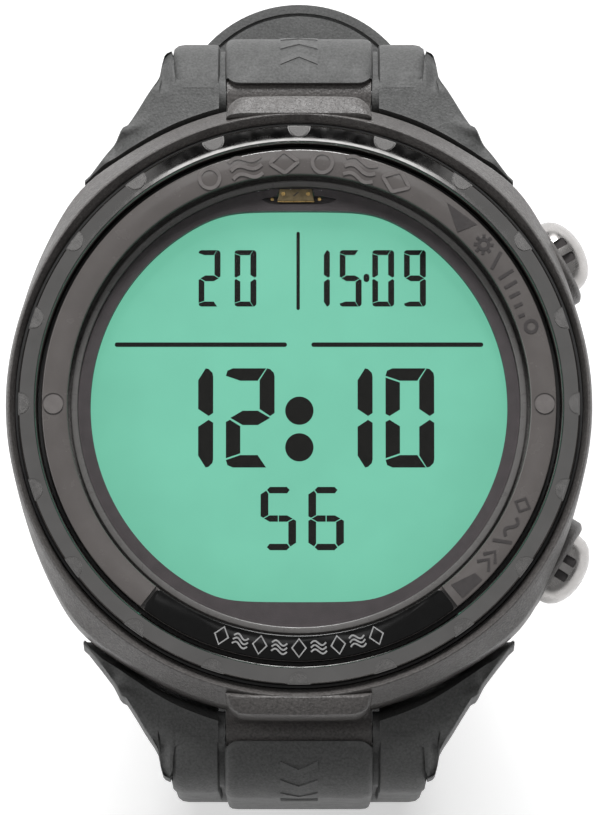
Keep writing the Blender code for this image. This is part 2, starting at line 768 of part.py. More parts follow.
def make_long_half():
    """The 6 o'clock half, which curls under the case and ends in a holed tongue."""
    moves = ROOT_MOVES + [("go", LONG_DROP), ("bend", TONGUE_BEND_R, 90), ("go", TONGUE_LENGTH)]
    strap, path, tools = make_strap_half("strap_lower", moves)
    tip_y, tip_z = path[-1][:2]
    tools.append((cut, tip_cutter(tip_y, tip_z)))
    for i in range(HOLE_COUNT):
        y = tip_y + HOLE_FROM_TIP + i * HOLE_PITCH
        flat = HOLE_HALF_WIDTH - HOLE_HALF_LENGTH
        ends = arc(HOLE_HALF_LENGTH, -90, 90, 5, (flat, y)) + arc(HOLE_HALF_LENGTH, 90, 270, 5, (-flat, y))
        tools.append((cut, prism("hole_%d" % i, ends, tip_z - 3.0, tip_z + 3.0)))
    finish_strap(strap, tools, -1)
    return path


def make_buckle(path):
    """Buckle frame, its pin and the prong, hanging from the short half's end."""
    y, z = path[-1][0] + PIN_Y, path[-1][1] + PIN_Z
    low = -BUCKLE_REACH
    outline = [
        (-BUCKLE_OUT, 0.6),
        (-BUCKLE_OUT, low + 1.2),
        (-BUCKLE_OUT + 1.2, low),
        (BUCKLE_OUT - 1.2, low),
        (BUCKLE_OUT, low + 1.2),
        (BUCKLE_OUT, 0.6),
        (BUCKLE_IN, 0.6),
        (BUCKLE_IN, low + BUCKLE_BAR),
        (-BUCKLE_IN, low + BUCKLE_BAR),
        (-BUCKLE_IN, 0.6),
    ]
    depth = BUCKLE_HALF_DEPTH
    frame = loft("buckle_frame", [[(a, d, b) for a, b in outline] for d in (-depth, depth)], "steel")
    for side in (1, -1):
        ends = (side * (BUCKLE_IN + 0.1), 0, 0), (side * (BUCKLE_OUT - 0.1), 0, 0)
        ear = rod("ear_%d" % (side + 1), 1.75, *ends, 16)
        join(frame, put(ear, (0.0, y, z)))
        hole = rod("ear_hole_%d" % (side + 1), BUCKLE_PIN_R + GAP, (side * 10, 0, 0), (side * 13.0, 0, 0), 12)
        cut(frame, put(hole, (0.0, y, z)))
    put(frame, (0.0, y, z))
    pin = rod("buckle_pin", BUCKLE_PIN_R, (-12.7, 0, 0), (12.7, 0, 0), 12, "steel")
    put(pin, (0.0, y, z))
    side_view = [(-0.9, -0.8), (1.4, -9.3), (1.4, low), (2.3, low), (2.5, -9.0), (1.5, -0.5)]
    prong = put(side_prism("buckle_prong", side_view, PRONG_HALF, "steel"), (0.0, y, z))
    eye = rod("prong_eye", PRONG_EYE_R, (-PRONG_HALF, 0, 0), (PRONG_HALF, 0, 0), 16)
    join(prong, put(eye, (0.0, y, z)))
    hole = rod("prong_hole", BUCKLE_PIN_R + GAP, (-2, 0, 0), (2, 0, 0), 12)
    cut(prong, put(hole, (0.0, y, z)))


def make_keeper(path):
    """Loop that slides on the straight end of the short half."""
    y, z, heading, _ = path[-1]
    y -= KEEPER_FROM_END * cos(radians(heading))
    z += KEEPER_FROM_END * sin(radians(heading))
    half = STRAP_HALF_WIDTH + 0.4
    outer_half = half + KEEPER_WALL
    length = KEEPER_HALF_LENGTH
    low, high = KEEPER_INNER, KEEPER_OUTER
    keeper = block(
        "strap_keeper",
        (-outer_half, -length, low - KEEPER_WALL),
        (outer_half, length, high + KEEPER_WALL),
        "strap_rubber",
    )
    window = block("keeper_window", (-half, -length - 1.0, low), (half, length + 1.0, high))
    place = (0.0, y + PIN_Y, z + PIN_Z)
    turn = (-radians(heading), 0.0, 0.0)
    cut(put(keeper, place, turn), put(window, place, turn))


def make_lug_pins():
    for name, sign in (("lug_pin_upper", 1), ("lug_pin_lower", -1)):
        pin = rod(name, PIN_R, (-10.5, 0, 0), (10.5, 0, 0), 12, "steel")
        put(pin, (0.0, sign * PIN_Y, PIN_Z))


clear_scene()
PARTS = new_collection("dive_computer")
CUTTERS = new_collection("cutters")
make_case()
make_cover()
make_hatch()
make_board()
make_display()
make_front()
for button, angle in BUTTON_ANGLES.items():
    make_button(button, angle)
short_path = make_short_half()
make_long_half()
make_buckle(short_path)
make_keeper(short_path)
make_lug_pins()
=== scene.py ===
"""The finished look of the wrist dive computer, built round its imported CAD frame.

Lengths are in millimetres and turned into metres where a mesh is made.  Heights
inside the case are measured up from the outside of the rear cover, and a strap's
path is measured outwards from its lug pin, as in the CAD.
"""

import json
from math import asin, atan2, cos, degrees, exp, log, pi, radians, sin, sqrt

import bmesh
import bpy
from mathutils import Matrix, Vector


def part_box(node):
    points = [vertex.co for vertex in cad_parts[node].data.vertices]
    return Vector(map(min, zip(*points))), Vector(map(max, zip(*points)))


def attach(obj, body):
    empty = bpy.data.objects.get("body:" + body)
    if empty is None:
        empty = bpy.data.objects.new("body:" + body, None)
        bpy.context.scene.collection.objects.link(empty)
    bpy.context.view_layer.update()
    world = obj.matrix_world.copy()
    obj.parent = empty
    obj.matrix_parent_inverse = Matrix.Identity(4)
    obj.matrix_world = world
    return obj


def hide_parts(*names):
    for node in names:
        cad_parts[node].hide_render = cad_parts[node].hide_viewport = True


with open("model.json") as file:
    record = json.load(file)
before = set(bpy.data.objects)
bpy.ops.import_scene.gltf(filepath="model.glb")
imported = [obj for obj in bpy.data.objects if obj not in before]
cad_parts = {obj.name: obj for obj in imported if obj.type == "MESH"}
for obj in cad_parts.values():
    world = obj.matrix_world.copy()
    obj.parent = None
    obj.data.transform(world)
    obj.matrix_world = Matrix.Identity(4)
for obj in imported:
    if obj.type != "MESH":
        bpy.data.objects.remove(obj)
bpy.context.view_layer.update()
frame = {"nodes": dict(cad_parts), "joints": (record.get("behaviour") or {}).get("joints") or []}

MM = 0.001

# Places read from the frame
BACK_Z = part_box("rear_cover")[0].z / MM
JOINTS = {joint["name"]: joint for joint in frame["joints"]}
PIN_Y, PIN_Z = (value / MM for value in JOINTS["upper_strap_swing"]["pos_m"][1:])
BUCKLE_SPOT = Vector(JOINTS["buckle_swing"]["pos_m"]) / MM

# Case
CASE_SWELL = 1.42
CORNER_SWELL = 0.3
CAVITY_R = 18.5
LEDGE = 12.6
FRONT_BORE_R = 24.2
RIM_TOP = 15.0
HOOD_HALF = 6.22
HOOD_START = -3.1
HOOD_CORNER = 1.7
LUG_R = 1.9
PIN_R = 0.8
SCREW_CIRCLE_R = 21.3
SCREW_ANGLES = (45, 135, 225, 315)
DIMPLE_CIRCLE_R = 20.9
PORT_CIRCLE_R = 16.5
PORT_ANGLE = 225
BUTTONS = {"select": 31, "escape": -31}
BUTTON_HEIGHT = 7.8

# Front
WINDOW_R = 17.8
WINDOW_TOP_Y = 16.85
WINDOW_LOW_Y = -16.75
LCD_TOP = 11.5
MASK_LOW = 11.8
MASK_TOP = 12.8
DIGIT_LOW = LCD_TOP + 0.02
DIGIT_HIGH = LCD_TOP + 0.07
RING_LOW = 12.9
LABEL_IN_R = 19.7
LABEL_OUT_R = 21.9
LABEL_TOP = 14.9
SIGN_R = 20.85
CREST_R = 20.8
DOT_R = 20.9
TRIM_IN_R = 22.3
TRIM_OUT_R = 23.9
TRIM_TOP = 15.4
MARK_COUNT = 20
PLATE_FROM = 232.0
PLATE_TO = 308.0

# Strap: lengths, and how far each half swings out, in degrees
STRAP_HALF = 11.0
ROOT_HALF_THICK = 1.6
STRAP_HALF_THICK = 1.4
TAPER_LENGTH = 15.0
RIB_HEIGHT = 0.88
SHORT_RIB = 20.0
LONG_RIB = 31.0
LUG_ROOM_R = 2.25
BARREL_R = 1.9
WING_IN_R = 26.62
ROOT_MOVES = [("go", 0.3), ("bend", 3.4, 78)]
SHORT_MOVES = ROOT_MOVES + [("go", 11.0), ("bend", 21.2, 110), ("go", 17.0)]
LONG_MOVES = ROOT_MOVES + [("go", 26.6), ("bend", 22.0, 90), ("go", 52.4)]
SHORT_SWING = 14
LONG_SWING = 30
TIP_R = 11.6
HOLE_COUNT = 7
HOLE_PITCH = 6.0
HOLE_FROM_TIP = 10.3
KEEPER_FROM_END = 13.5

# Stage: degrees, metres, and the strength of the lights and of the sky
CAMERA_TILT = 6.0
CAMERA_DISTANCE = 0.600
VIEW_HEIGHT = 0.0693
KEY_POWER = 34.0
SIDE_POWER = 1.0
SKY_GREY = 0.30
SKY_STRIP = 1.8

CASE_SPOT = Matrix.Translation((0.0, 0.0, BACK_Z))
UPPER_SPOT = Matrix.Translation((0.0, PIN_Y, PIN_Z))
LOWER_SPOT = Matrix.Translation((0.0, -PIN_Y, PIN_Z)) @ Matrix.Rotation(pi, 4, "Z")
BUCKLE_PLACE = Matrix.Translation(BUCKLE_SPOT)


def button_spot(name):
    """Turns a button's own axis, local +Z, to point outwards from the case's axis."""
    spot = Matrix.Translation((0.0, 0.0, BACK_Z + BUTTON_HEIGHT))
    return spot @ Matrix.Rotation(radians(BUTTONS[name]), 4, "Z") @ Matrix.Rotation(pi / 2, 4, "Y")


# ---- materials


class Paint:
    """A Principled material whose colour, roughness and relief come from noise."""

    def __init__(self, name, color, roughness, metallic=0.0):
        self.material = bpy.data.materials.new(name)
        self.material.use_nodes = True
        self.tree = self.material.node_tree
        self.shader = self.tree.nodes["Principled BSDF"]
        self.shader.inputs["Base Color"].default_value = (*color, 1.0)
        self.shader.inputs["Roughness"].default_value = roughness
        self.shader.inputs["Metallic"].default_value = metallic
        self.color = color
        self.roughness = roughness
        self.place = self.node("ShaderNodeTexCoord").outputs["Object"]
        self.relief = None

    def node(self, kind, **settings):
        made = self.tree.nodes.new(kind)
        for key, value in settings.items():
            setattr(made, key, value)
        return made

    def link(self, source, target):
        self.tree.links.new(source, target)

    def noise(self, size, detail, stretch=(1.0, 1.0, 1.0)):
        """Noise whose lumps are about size millimetres across."""
        mapping = self.node("ShaderNodeMapping")
        mapping.inputs["Scale"].default_value = [1.0 / (size * MM * s) for s in stretch]
        self.link(self.place, mapping.inputs["Vector"])
        texture = self.node("ShaderNodeTexNoise")
        texture.inputs["Scale"].default_value = 1.0
        texture.inputs["Detail"].default_value = detail
        self.link(mapping.outputs["Vector"], texture.inputs["Vector"])
        return texture.outputs["Fac"]

    def span(self, source, from_low, from_high, low=0.0, high=1.0):
        """Maps one range of values to another, and holds it at its ends."""
        span = self.node("ShaderNodeMapRange")
        for key, value in zip(("From Min", "From Max", "To Min", "To Max"), (from_low, from_high, low, high)):
            span.inputs[key].default_value = value
        self.link(source, span.inputs["Value"])
        return span.outputs["Result"]

    def ramp(self, source, low, high):
        """Maps the middle of a noise's range to low..high."""
        return self.span(source, 0.3, 0.7, low, high)

    def vary_color(self, size, amount, stretch=(1.0, 1.0, 1.0)):
        """Lightens and darkens the colour by a share of itself."""
        mix = self.node("ShaderNodeMix", data_type="RGBA")
        dark = [c * (1 - amount) for c in self.color]
        light = [c * (1 + amount) for c in self.color]
        mix.inputs[6].default_value = (*dark, 1.0)
        mix.inputs[7].default_value = (*light, 1.0)
        self.link(self.ramp(self.noise(size, 4.0, stretch), 0.0, 1.0), mix.inputs[0])
        self.link(mix.outputs[2], self.shader.inputs["Base Color"])

    def vary_roughness(self, size, amount, stretch=(1.0, 1.0, 1.0)):
        low, high = self.roughness - amount, self.roughness + amount
        self.link(self.ramp(self.noise(size, 3.0, stretch), low, high), self.shader.inputs["Roughness"])

    def bump(self, size, depth, stretch=(1.0, 1.0, 1.0)):
        """Fine relief, depth millimetres deep; several bumps add up."""
        bump = self.node("ShaderNodeBump")
        bump.inputs["Strength"].default_value = 1.0
        bump.inputs["Distance"].default_value = depth * MM
        self.link(self.noise(size, 2.0, stretch), bump.inputs["Height"])
        if self.relief is not None:
            self.link(self.relief, bump.inputs["Normal"])
        self.relief = bump.outputs["Normal"]
        self.link(self.relief, self.shader.inputs["Normal"])

    def wear(self, color, amount):
        """Painted highlight: lightens sharp edges, found from the shape's own sharp corners, as if they
        caught the light; comes after vary_color.
        """
        geometry = self.node("ShaderNodeNewGeometry")
        share = self.span(geometry.outputs["Pointiness"], 0.52, 0.62, 0.0, amount)
        mix = self.node("ShaderNodeMix", data_type="RGBA")
        self.link(self.shader.inputs["Base Color"].links[0].from_socket, mix.inputs[6])
        mix.inputs[7].default_value = (*color, 1.0)
        self.link(share, mix.inputs[0])
        self.link(mix.outputs[2], self.shader.inputs["Base Color"])

    def set(self, values):
        for key, value in values.items():
            self.shader.inputs[key].default_value = value


# Each finish's colour, roughness and metal share, and then what varies them over the surface; the last step
# of case_plastic and strap_rubber paints a highlight on their sharp edges
FINISHES = {
    "case_plastic": [(0.095, 0.089, 0.086), 0.42, 0.0, ("vary_color", 0.22, 0.34),
        ("vary_roughness", 0.8, 0.05), ("bump", 0.19, 0.060), ("wear", (0.15, 0.145, 0.14), 0.4)],
    "cover_plastic": [(0.030, 0.029, 0.029), 0.50, 0.0, ("vary_color", 1.5, 0.15),
        ("vary_roughness", 1.0, 0.06), ("bump", 0.15, 0.012)],
    "hatch_plastic": [(0.042, 0.042, 0.043), 0.42, 0.0, ("vary_color", 1.5, 0.15),
        ("vary_roughness", 1.0, 0.06), ("bump", 0.12, 0.008)],
    "strap_rubber": [(0.088, 0.089, 0.088), 0.62, 0.0, ("vary_color", 0.22, 0.26),
        ("vary_roughness", 1.2, 0.06), ("bump", 0.19, 0.045), ("bump", 0.9, 0.010),
        ("wear", (0.15, 0.15, 0.15), 0.35)],
    "seal_rubber": [(0.012, 0.012, 0.012), 0.5, 0.0, ("vary_color", 0.8, 0.2), ("bump", 0.2, 0.005)],
    "gasket_rubber": [(0.130, 0.125, 0.122), 0.30, 0.0, ("vary_color", 0.9, 0.08),
        ("vary_roughness", 0.8, 0.06), ("bump", 0.3, 0.003)],
    "label_plastic": [(0.104, 0.094, 0.090), 0.24, 0.0, ("vary_color", 3.0, 0.08),
        ("vary_roughness", 1.5, 0.05), ("bump", 0.25, 0.003),
        ("set", {"Coat Weight": 0.5, "Coat Roughness": 0.08})],
    "nameplate_plastic": [(0.004, 0.004, 0.004), 0.16, 0.0, ("vary_color", 1.0, 0.2),
        ("vary_roughness", 2.0, 0.03), ("set", {"Specular IOR Level": 0.3})],
    # This ink also colours the dark blocks of painted shade set in the button slots.
    "ink_and_slot_shade": [(0.045, 0.040, 0.040), 0.40, 0.0, ("vary_color", 0.6, 0.15), ("bump", 0.15, 0.004)],
    "relief_ink": [(0.150, 0.138, 0.134), 0.30, 0.0, ("vary_color", 0.6, 0.10), ("bump", 0.2, 0.004)],
    "silver_print": [(0.45, 0.45, 0.45), 0.35, 0.6, ("vary_color", 0.4, 0.12), ("bump", 0.15, 0.004)],
    "trim_metal": [(0.355, 0.348, 0.342), 0.09, 1.0, ("vary_color", 2.5, 0.06),
        ("vary_roughness", 0.9, 0.03), ("bump", 0.3, 0.0005)],
    "mark_metal": [(0.300, 0.293, 0.288), 0.18, 1.0, ("vary_color", 0.5, 0.06),
        ("vary_roughness", 0.5, 0.03), ("bump", 0.2, 0.0006)],
    "polished_steel": [(0.78, 0.76, 0.74), 0.16, 1.0, ("vary_color", 1.5, 0.03),
        ("vary_roughness", 0.7, 0.05), ("bump", 0.12, 0.0015)],
    "cap_steel": [(0.44, 0.425, 0.415), 0.28, 1.0, ("vary_color", 1.2, 0.08),
        ("vary_roughness", 0.7, 0.07), ("bump", 0.12, 0.002)],
    "brushed_steel": [(0.52, 0.51, 0.50), 0.28, 1.0, ("vary_color", 1.0, 0.06, (8.0, 0.25, 0.25)),
        ("vary_roughness", 0.5, 0.07, (8.0, 0.3, 0.3)), ("bump", 0.1, 0.002, (12.0, 0.4, 0.4))],
    "dark_steel": [(0.26, 0.26, 0.26), 0.35, 1.0, ("vary_color", 0.8, 0.12), ("vary_roughness", 0.5, 0.08)],
    "gold_plate": [(0.62, 0.42, 0.16), 0.30, 1.0, ("vary_color", 0.5, 0.15), ("vary_roughness", 0.4, 0.08)],
    "led_brass": [(0.30, 0.23, 0.12), 0.40, 0.4, ("vary_color", 0.5, 0.25), ("bump", 0.2, 0.01)],
    "board_green": [(0.015, 0.10, 0.045), 0.40, 0.0, ("vary_color", 1.5, 0.25), ("bump", 0.6, 0.01)],
    "chip_black": [(0.02, 0.02, 0.022), 0.45, 0.0, ("vary_color", 0.5, 0.2), ("bump", 0.1, 0.004)],
    "white_plastic": [(0.70, 0.70, 0.67), 0.5, 0.0, ("vary_color", 1.5, 0.04), ("bump", 0.2, 0.005)],
    "mask_black": [(0.060, 0.050, 0.053), 0.55, 0.0, ("vary_color", 1.2, 0.14),
        ("vary_roughness", 0.8, 0.06), ("bump", 0.14, 0.01)],
    "segment_ink": [(0.009, 0.008, 0.007), 0.6, 0.0, ("set", {"Specular IOR Level": 0.15}),
        ("vary_color", 0.8, 0.2), ("bump", 0.3, 0.002)],
    "lens_glass": [(0.02, 0.03, 0.03), 0.03, 0.0, ("set", {"Alpha": 0.04, "IOR": 1.5}),
        ("vary_roughness", 6.0, 0.01)],
    "floor_white": [(0.90, 0.90, 0.90), 0.8, 0.0,
        ("set", {"Emission Color": (1.0, 1.0, 1.0, 1.0), "Emission Strength": 0.38}),
        ("vary_color", 60.0, 0.01)],
}


def make_finish(name, color, roughness, metallic, *steps):
    paint = Paint(name, color, roughness, metallic)
    for step, *values in steps:
        getattr(paint, step)(*values)
    return paint.material


def lcd_glow():
    """Back-lit liquid-crystal cell: green, a little dimmer towards its rim."""
    paint = Paint("lcd_glow", (0.02, 0.05, 0.04), 0.60)
    paint.set({"Emission Strength": 1.0, "Specular IOR Level": 0.1})
    square = paint.node("ShaderNodeVectorMath", operation="MULTIPLY")
    square.inputs[1].default_value = (1.0, 1.0, 0.0)
    paint.link(paint.place, square.inputs[0])
    length = paint.node("ShaderNodeVectorMath", operation="LENGTH")
    paint.link(square.outputs["Vector"], length.inputs[0])
    share = paint.span(length.outputs["Value"], 13.0 * MM, WINDOW_R * MM)
    mix = paint.node("ShaderNodeMix", data_type="RGBA")
    mix.inputs[6].default_value = (0.185, 0.575, 0.410, 1.0)
    mix.inputs[7].default_value = (0.165, 0.530, 0.370, 1.0)
    paint.link(share, mix.inputs[0])
    grain = paint.node("ShaderNodeMix", data_type="RGBA", blend_type="MULTIPLY")
    grain.inputs[0].default_value = 1.0
    tone = paint.ramp(paint.noise(5.0, 2.0), 0.97, 1.03)
    paint.link(mix.outputs[2], grain.inputs[6])
    paint.link(tone, grain.inputs[7])
    paint.link(grain.outputs[2], paint.shader.inputs["Emission Color"])
    return paint.material


MATERIALS = {name: make_finish(name, *values) for name, values in FINISHES.items()}
MATERIALS["lcd_glow"] = lcd_glow()


# ---- mesh tools


def smooth_step(value, low, high):
    t = min(1.0, max(0.0, (value - low) / (high - low)))
    return t * t * (3 - 2 * t)


def soften(points, radius, closed=False, steps=3):
    """Rounds the corners of a line of points by up to radius."""
    count = len(points)
    rounded = []
    for i, point in enumerate(points):
        if not closed and i in (0, count - 1):
            rounded.append(tuple(point))
            continue
        corner = Vector(point)
        before = Vector(points[i - 1]) - corner
        after = Vector(points[(i + 1) % count]) - corner
        back = corner + before.normalized() * min(radius, before.length * 0.45)
        ahead = corner + after.normalized() * min(radius, after.length * 0.45)
        for k in range(steps + 1):
            t = k / steps
            spot = back * (1 - t) ** 2 + corner * 2 * t * (1 - t) + ahead * t**2
            rounded.append(tuple(spot))
    return rounded


def arc(radius, start, end, steps, middle=(0.0, 0.0)):
    """Points on an arc, with its angles in degrees."""
    angles = [radians(start + (end - start) * i / steps) for i in range(steps + 1)]
    return [(middle[0] + radius * cos(a), middle[1] + radius * sin(a)) for a in angles]


def polar(radius, angle):
    return (radius * cos(radians(angle)), radius * sin(radians(angle)), 0.0)


def case_point(radius, angle):
    """The case's axes, moved to a point on its own face."""
    return CASE_SPOT @ Matrix.Translation(polar(radius, angle))


def add_grid(bm, rings, closed_rows=False):
    """Adds quads between rings of points; the ends are capped unless the rows close."""
    rows = [[bm.verts.new(p) for p in ring] for ring in rings]
    pairs = list(zip(rows, rows[1:]))
    if closed_rows:
        pairs.append((rows[-1], rows[0]))
    size = len(rows[0])
    for a, b in pairs:
        for i in range(size):
            j = (i + 1) % size
            bm.faces.new((a[i], a[j], b[j], b[i]))
    if not closed_rows:
        bm.faces.new(list(reversed(rows[0])))
        bm.faces.new(rows[-1])


def grid_mesh(rings, closed_rows=False):
    """The same in a mesh of its own, with its faces turned outwards."""
    bm = bmesh.new()
    add_grid(bm, rings, closed_rows)
    bmesh.ops.recalc_face_normals(bm, faces=bm.faces)
    return bm


def plain_shape(radius, angle, height):
    return radius * cos(angle), radius * sin(angle)


def revolve(profile, steps, closed=True, shape=plain_shape):
    """A turned mesh from (radius, height) points; a closed profile makes a ring."""
    bm = bmesh.new()
    rows = []
    for k in range(steps):
        angle = 2 * pi * k / steps
        rows.append([None if r < 1e-6 else bm.verts.new((*shape(r, angle, z), z)) for r, z in profile])
    poles = {i: bm.verts.new((0.0, 0.0, z)) for i, (r, z) in enumerate(profile) if r < 1e-6}
    count = len(profile)
    spans = [(i, (i + 1) % count) for i in range(count if closed else count - 1)]
    for k in range(steps):
        here, there = rows[k], rows[(k + 1) % steps]
        for i, j in spans:
            corners = [here[i] or poles[i], here[j] or poles[j], there[j] or poles[j], there[i] or poles[i]]
            corners = list(dict.fromkeys(corners))
            if len(corners) > 2:
                bm.faces.new(corners)
    bmesh.ops.recalc_face_normals(bm, faces=bm.faces)
    return bm


def prism(outline, low, high):
    """A flat outline of (x, y) points between two heights."""
    return grid_mesh([[(x, y, z) for x, y in outline] for z in (low, high)])


def rod(radius, start, end, sides):
    start, end = Vector(start), Vector(end)
    turn = (end - start).to_track_quat("Z", "Y").to_matrix().to_4x4()
    bm = bmesh.new()
    spot = Matrix.Translation((start + end) / 2) @ turn
    size = {"radius1": radius, "radius2": radius, "depth": (end - start).length}
    bmesh.ops.create_cone(bm, cap_ends=True, segments=sides, matrix=spot, **size)
    return bm


def block(low, high, round_off=0.0):
    """A box, with its edges rounded when round_off is given."""
    low, high = Vector(low), Vector(high)
    bm = bmesh.new()
    bmesh.ops.create_cube(bm, size=1.0)
    bmesh.ops.scale(bm, vec=high - low, verts=bm.verts)
    bmesh.ops.translate(bm, vec=(low + high) / 2, verts=bm.verts)
    if round_off:
        bevel(bm, round_off, 3)
    return bm


def bevel(bm, width, segments, angle=30):
    """Rounds every edge that is sharper than the angle."""
    sharp = [e for e in bm.edges if e.is_manifold and e.calc_face_angle(0.0) > radians(angle)]
    shape = {"offset": width, "offset_type": "OFFSET", "segments": segments, "profile": 0.5}
    bmesh.ops.bevel(bm, geom=sharp, affect="EDGES", clamp_overlap=True, **shape)
    return bm


def link_object(thing):
    bpy.context.scene.collection.objects.link(thing)
    return thing


def mesh_object(name, bm, spot=CASE_SPOT):
    """A mesh object from bm, which is in millimetres in the spot's own axes: the case's if none is given."""
    bm.transform(Matrix.Scale(MM, 4) @ spot)
    mesh = bpy.data.meshes.new(name)
    bm.to_mesh(mesh)
    bm.free()
    return link_object(bpy.data.objects.new(name, mesh))


def combine(target, bm, spot, operation):
    """Joins or cuts with a tool at once, and removes the tool."""
    tool = mesh_object("tool", bm, spot)
    step = target.modifiers.new("combine", "BOOLEAN")
    step.object = tool
    step.operation = operation
    step.solver = "EXACT"
    bpy.context.view_layer.update()
    shown = target.evaluated_get(bpy.context.evaluated_depsgraph_get())
    result = bpy.data.meshes.new_from_object(shown)
    target.modifiers.clear()
    target.data = result
    bpy.data.objects.remove(tool, do_unlink=True)


def cut(target, bm, spot=CASE_SPOT):
    combine(target, bm, spot, "DIFFERENCE")


def join(target, bm, spot=CASE_SPOT):
    combine(target, bm, spot, "UNION")


def piece(thing, body, material, replaced=(), smooth_angle=35):
    """Gives a finished object its material, body and replaced nodes."""
    thing.data.materials.clear()
    thing.data.materials.append(MATERIALS[material])
    thing.data.shade_smooth()
    thing.data.set_sharp_from_angle(angle=radians(smooth_angle))
    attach(thing, body)
    if replaced:
        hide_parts(*replaced)


# ---- case


def case_shape(radius, angle, height):
    """The bore and the rim stay round; the flank below swells into a cushion."""
    if radius < FRONT_BORE_R + 0.05 and height > LEDGE - 1 or radius < CAVITY_R + 1:
        return plain_shape(radius, angle, height)
    lean = abs(degrees(asin(sin(angle))))
    swell = CASE_SWELL * smooth_step(lean, 12, 50) + CORNER_SWELL * exp(-(((lean - 45) / 8) ** 2))
    r = radius + swell * (1 - 0.85 * smooth_step(height, 11.5, RIM_TOP))
    return r * cos(angle), r * sin(angle)


def hood_ring(x):
    """Side view of a lug at x: a full hood, round at its outer corners, over the pin's nose."""
    side = max(0.0, abs(x) - (HOOD_HALF - HOOD_CORNER))
    back = HOOD_CORNER - sqrt(max(0.0, HOOD_CORNER**2 - side**2)) + 0.004 * x**2
    edge = HOOD_HALF - abs(x)
    drop = 0.4 - sqrt(max(0.0, 0.16 - (0.4 - min(edge, 0.4)) ** 2))
    crown = [(0.0, 6.9), (0.12, 7.25), (0.3, 7.5), (0.5, 7.63), (0.8, 7.55), (1.2, 7.39), (1.6, 7.22)]
    crown += [(1.92, 7.05), (2.07, 6.75), (2.13, 6.2), (2.17, 5.2), (2.2, 3.8), (2.2, 2.6)]
    share = (2.2 - back) / 2.2
    shaped = [(HOOD_START + y * share, z - drop) for y, z in crown]
    nose = [(-0.85, 1.7)] + arc(LUG_R, 100, -90, 14)
    return [(x, y, z) for y, z in [(HOOD_START, -3.4)] + shaped + nose + [(-1.2, -3.4)]]


def make_case():
    inside = [(CAVITY_R, 2.5), (CAVITY_R, LEDGE), (FRONT_BORE_R, LEDGE)]
    outside = [
        (FRONT_BORE_R, LEDGE), (FRONT_BORE_R, 13.9), (24.62, RIM_TOP), (24.78, RIM_TOP - 0.04),
        (24.97, 14.35), (25.0, 12.5), (25.0, 9.0), (24.9, 7.4), (24.3, 4.2), (23.75, 2.5),
    ]
    profile = inside[:-1] + soften(outside, 0.12)
    case = mesh_object("case_shell", revolve(profile, 192, shape=case_shape))
    for spot in (UPPER_SPOT, LOWER_SPOT):
        steps = [HOOD_HALF * sin(pi / 2 * k / 16) for k in range(-16, 17)]
        join(case, grid_mesh([hood_ring(x) for x in steps]), spot)
    for name in BUTTONS:
        boss = [(0.0, 26.05), (3.85, 26.05), (4.25, 25.7), (4.25, 21.0), (0.0, 21.0)]
        join(case, revolve(soften(boss, 0.15), 48, closed=False), button_spot(name))
    front = [(0.0, 18.0), (24.75, 18.0), (24.58, RIM_TOP), (24.15, 13.85), (24.15, LEDGE), (0.0, LEDGE)]
    cut(case, revolve(front, 192, False))
    inner = [(0.0, LEDGE + 1), (CAVITY_R, LEDGE + 1), (CAVITY_R, 0), (0, 0)]
    cut(case, revolve(inner, 128, False))
    for spot in (UPPER_SPOT, LOWER_SPOT):
        cut(case, rod(PIN_R + 0.15, (-9, 0, 0), (9, 0, 0), 24), spot)
    for angle in SCREW_ANGLES:
        spot = case_point(SCREW_CIRCLE_R, angle)
        cut(case, rod(0.95, (0, 0, 1.0), (0, 0, 6.8), 16), spot)
    for name in BUTTONS:
        bore = [(0, 30), (3.6, 30), (3.6, 23.5), (3.0, 23.5), (3.0, 22.1), (2.1, 22.1), (2.1, 15), (0, 15)]
        cut(case, revolve(bore, 40, False), button_spot(name))
    piece(case, "case", "case_plastic", ["case_body"])


def make_cover():
    """Rear cover, with a ring of small dimples, the pressure port, and the hatch's seat."""
    outline = [
        (14.4, 7.0), (14.4, 2.2), (18.6, 2.2), (18.6, 1.1), (19.7, 1.1), (19.7, 2.2), (23.3, 2.2),
        (23.3, 0.5), (22.8, 0.0), (18.9, 0.0), (18.7, 0.2), (18.3, 0.2), (18.1, 0.0), (14.5, 0.0),
        (14.5, 1.3), (13.3, 1.3), (13.3, 3.0), (12.75, 3.0), (12.75, 6.4),
    ]
    profile = [(0.0, 7.0)] + soften(outline, 0.12, steps=2) + [(0.0, 6.4)]
    cover = mesh_object("rear_plate", revolve(profile, 128, closed=False))
    for angle in SCREW_ANGLES:
        spot = case_point(SCREW_CIRCLE_R, angle)
        steps = [(0, 4), (0.95, 4), (0.95, 1.3), (1.35, 1.3), (1.35, 0.15), (1.55, -0.2), (0, -0.2)]
        cut(cover, revolve(steps, 32, False), spot)
    spot = case_point(PORT_CIRCLE_R, PORT_ANGLE)
    cut(cover, revolve([(0, 3), (0.7, 3), (0.7, 0.3), (1.1, -0.2), (0, -0.2)], 24, False), spot)
    cut(cover, block((-16.0, -2.0, 3.4), (-12.0, 2.0, 8.0)))
    cut(cover, rod(1.6, (0, 0, 6.0), (0, 0, 8.0), 24))
    for k in range(36):
        if k % 9 in (4, 5):
            continue
        dimple = revolve([(0, 0.25), (0.3, 0.15), (0.45, -0.1), (0, -0.1)], 12, False)
        cut(cover, dimple, case_point(DIMPLE_CIRCLE_R, k * 10))
    piece(cover, "case", "cover_plastic", ["rear_cover"])


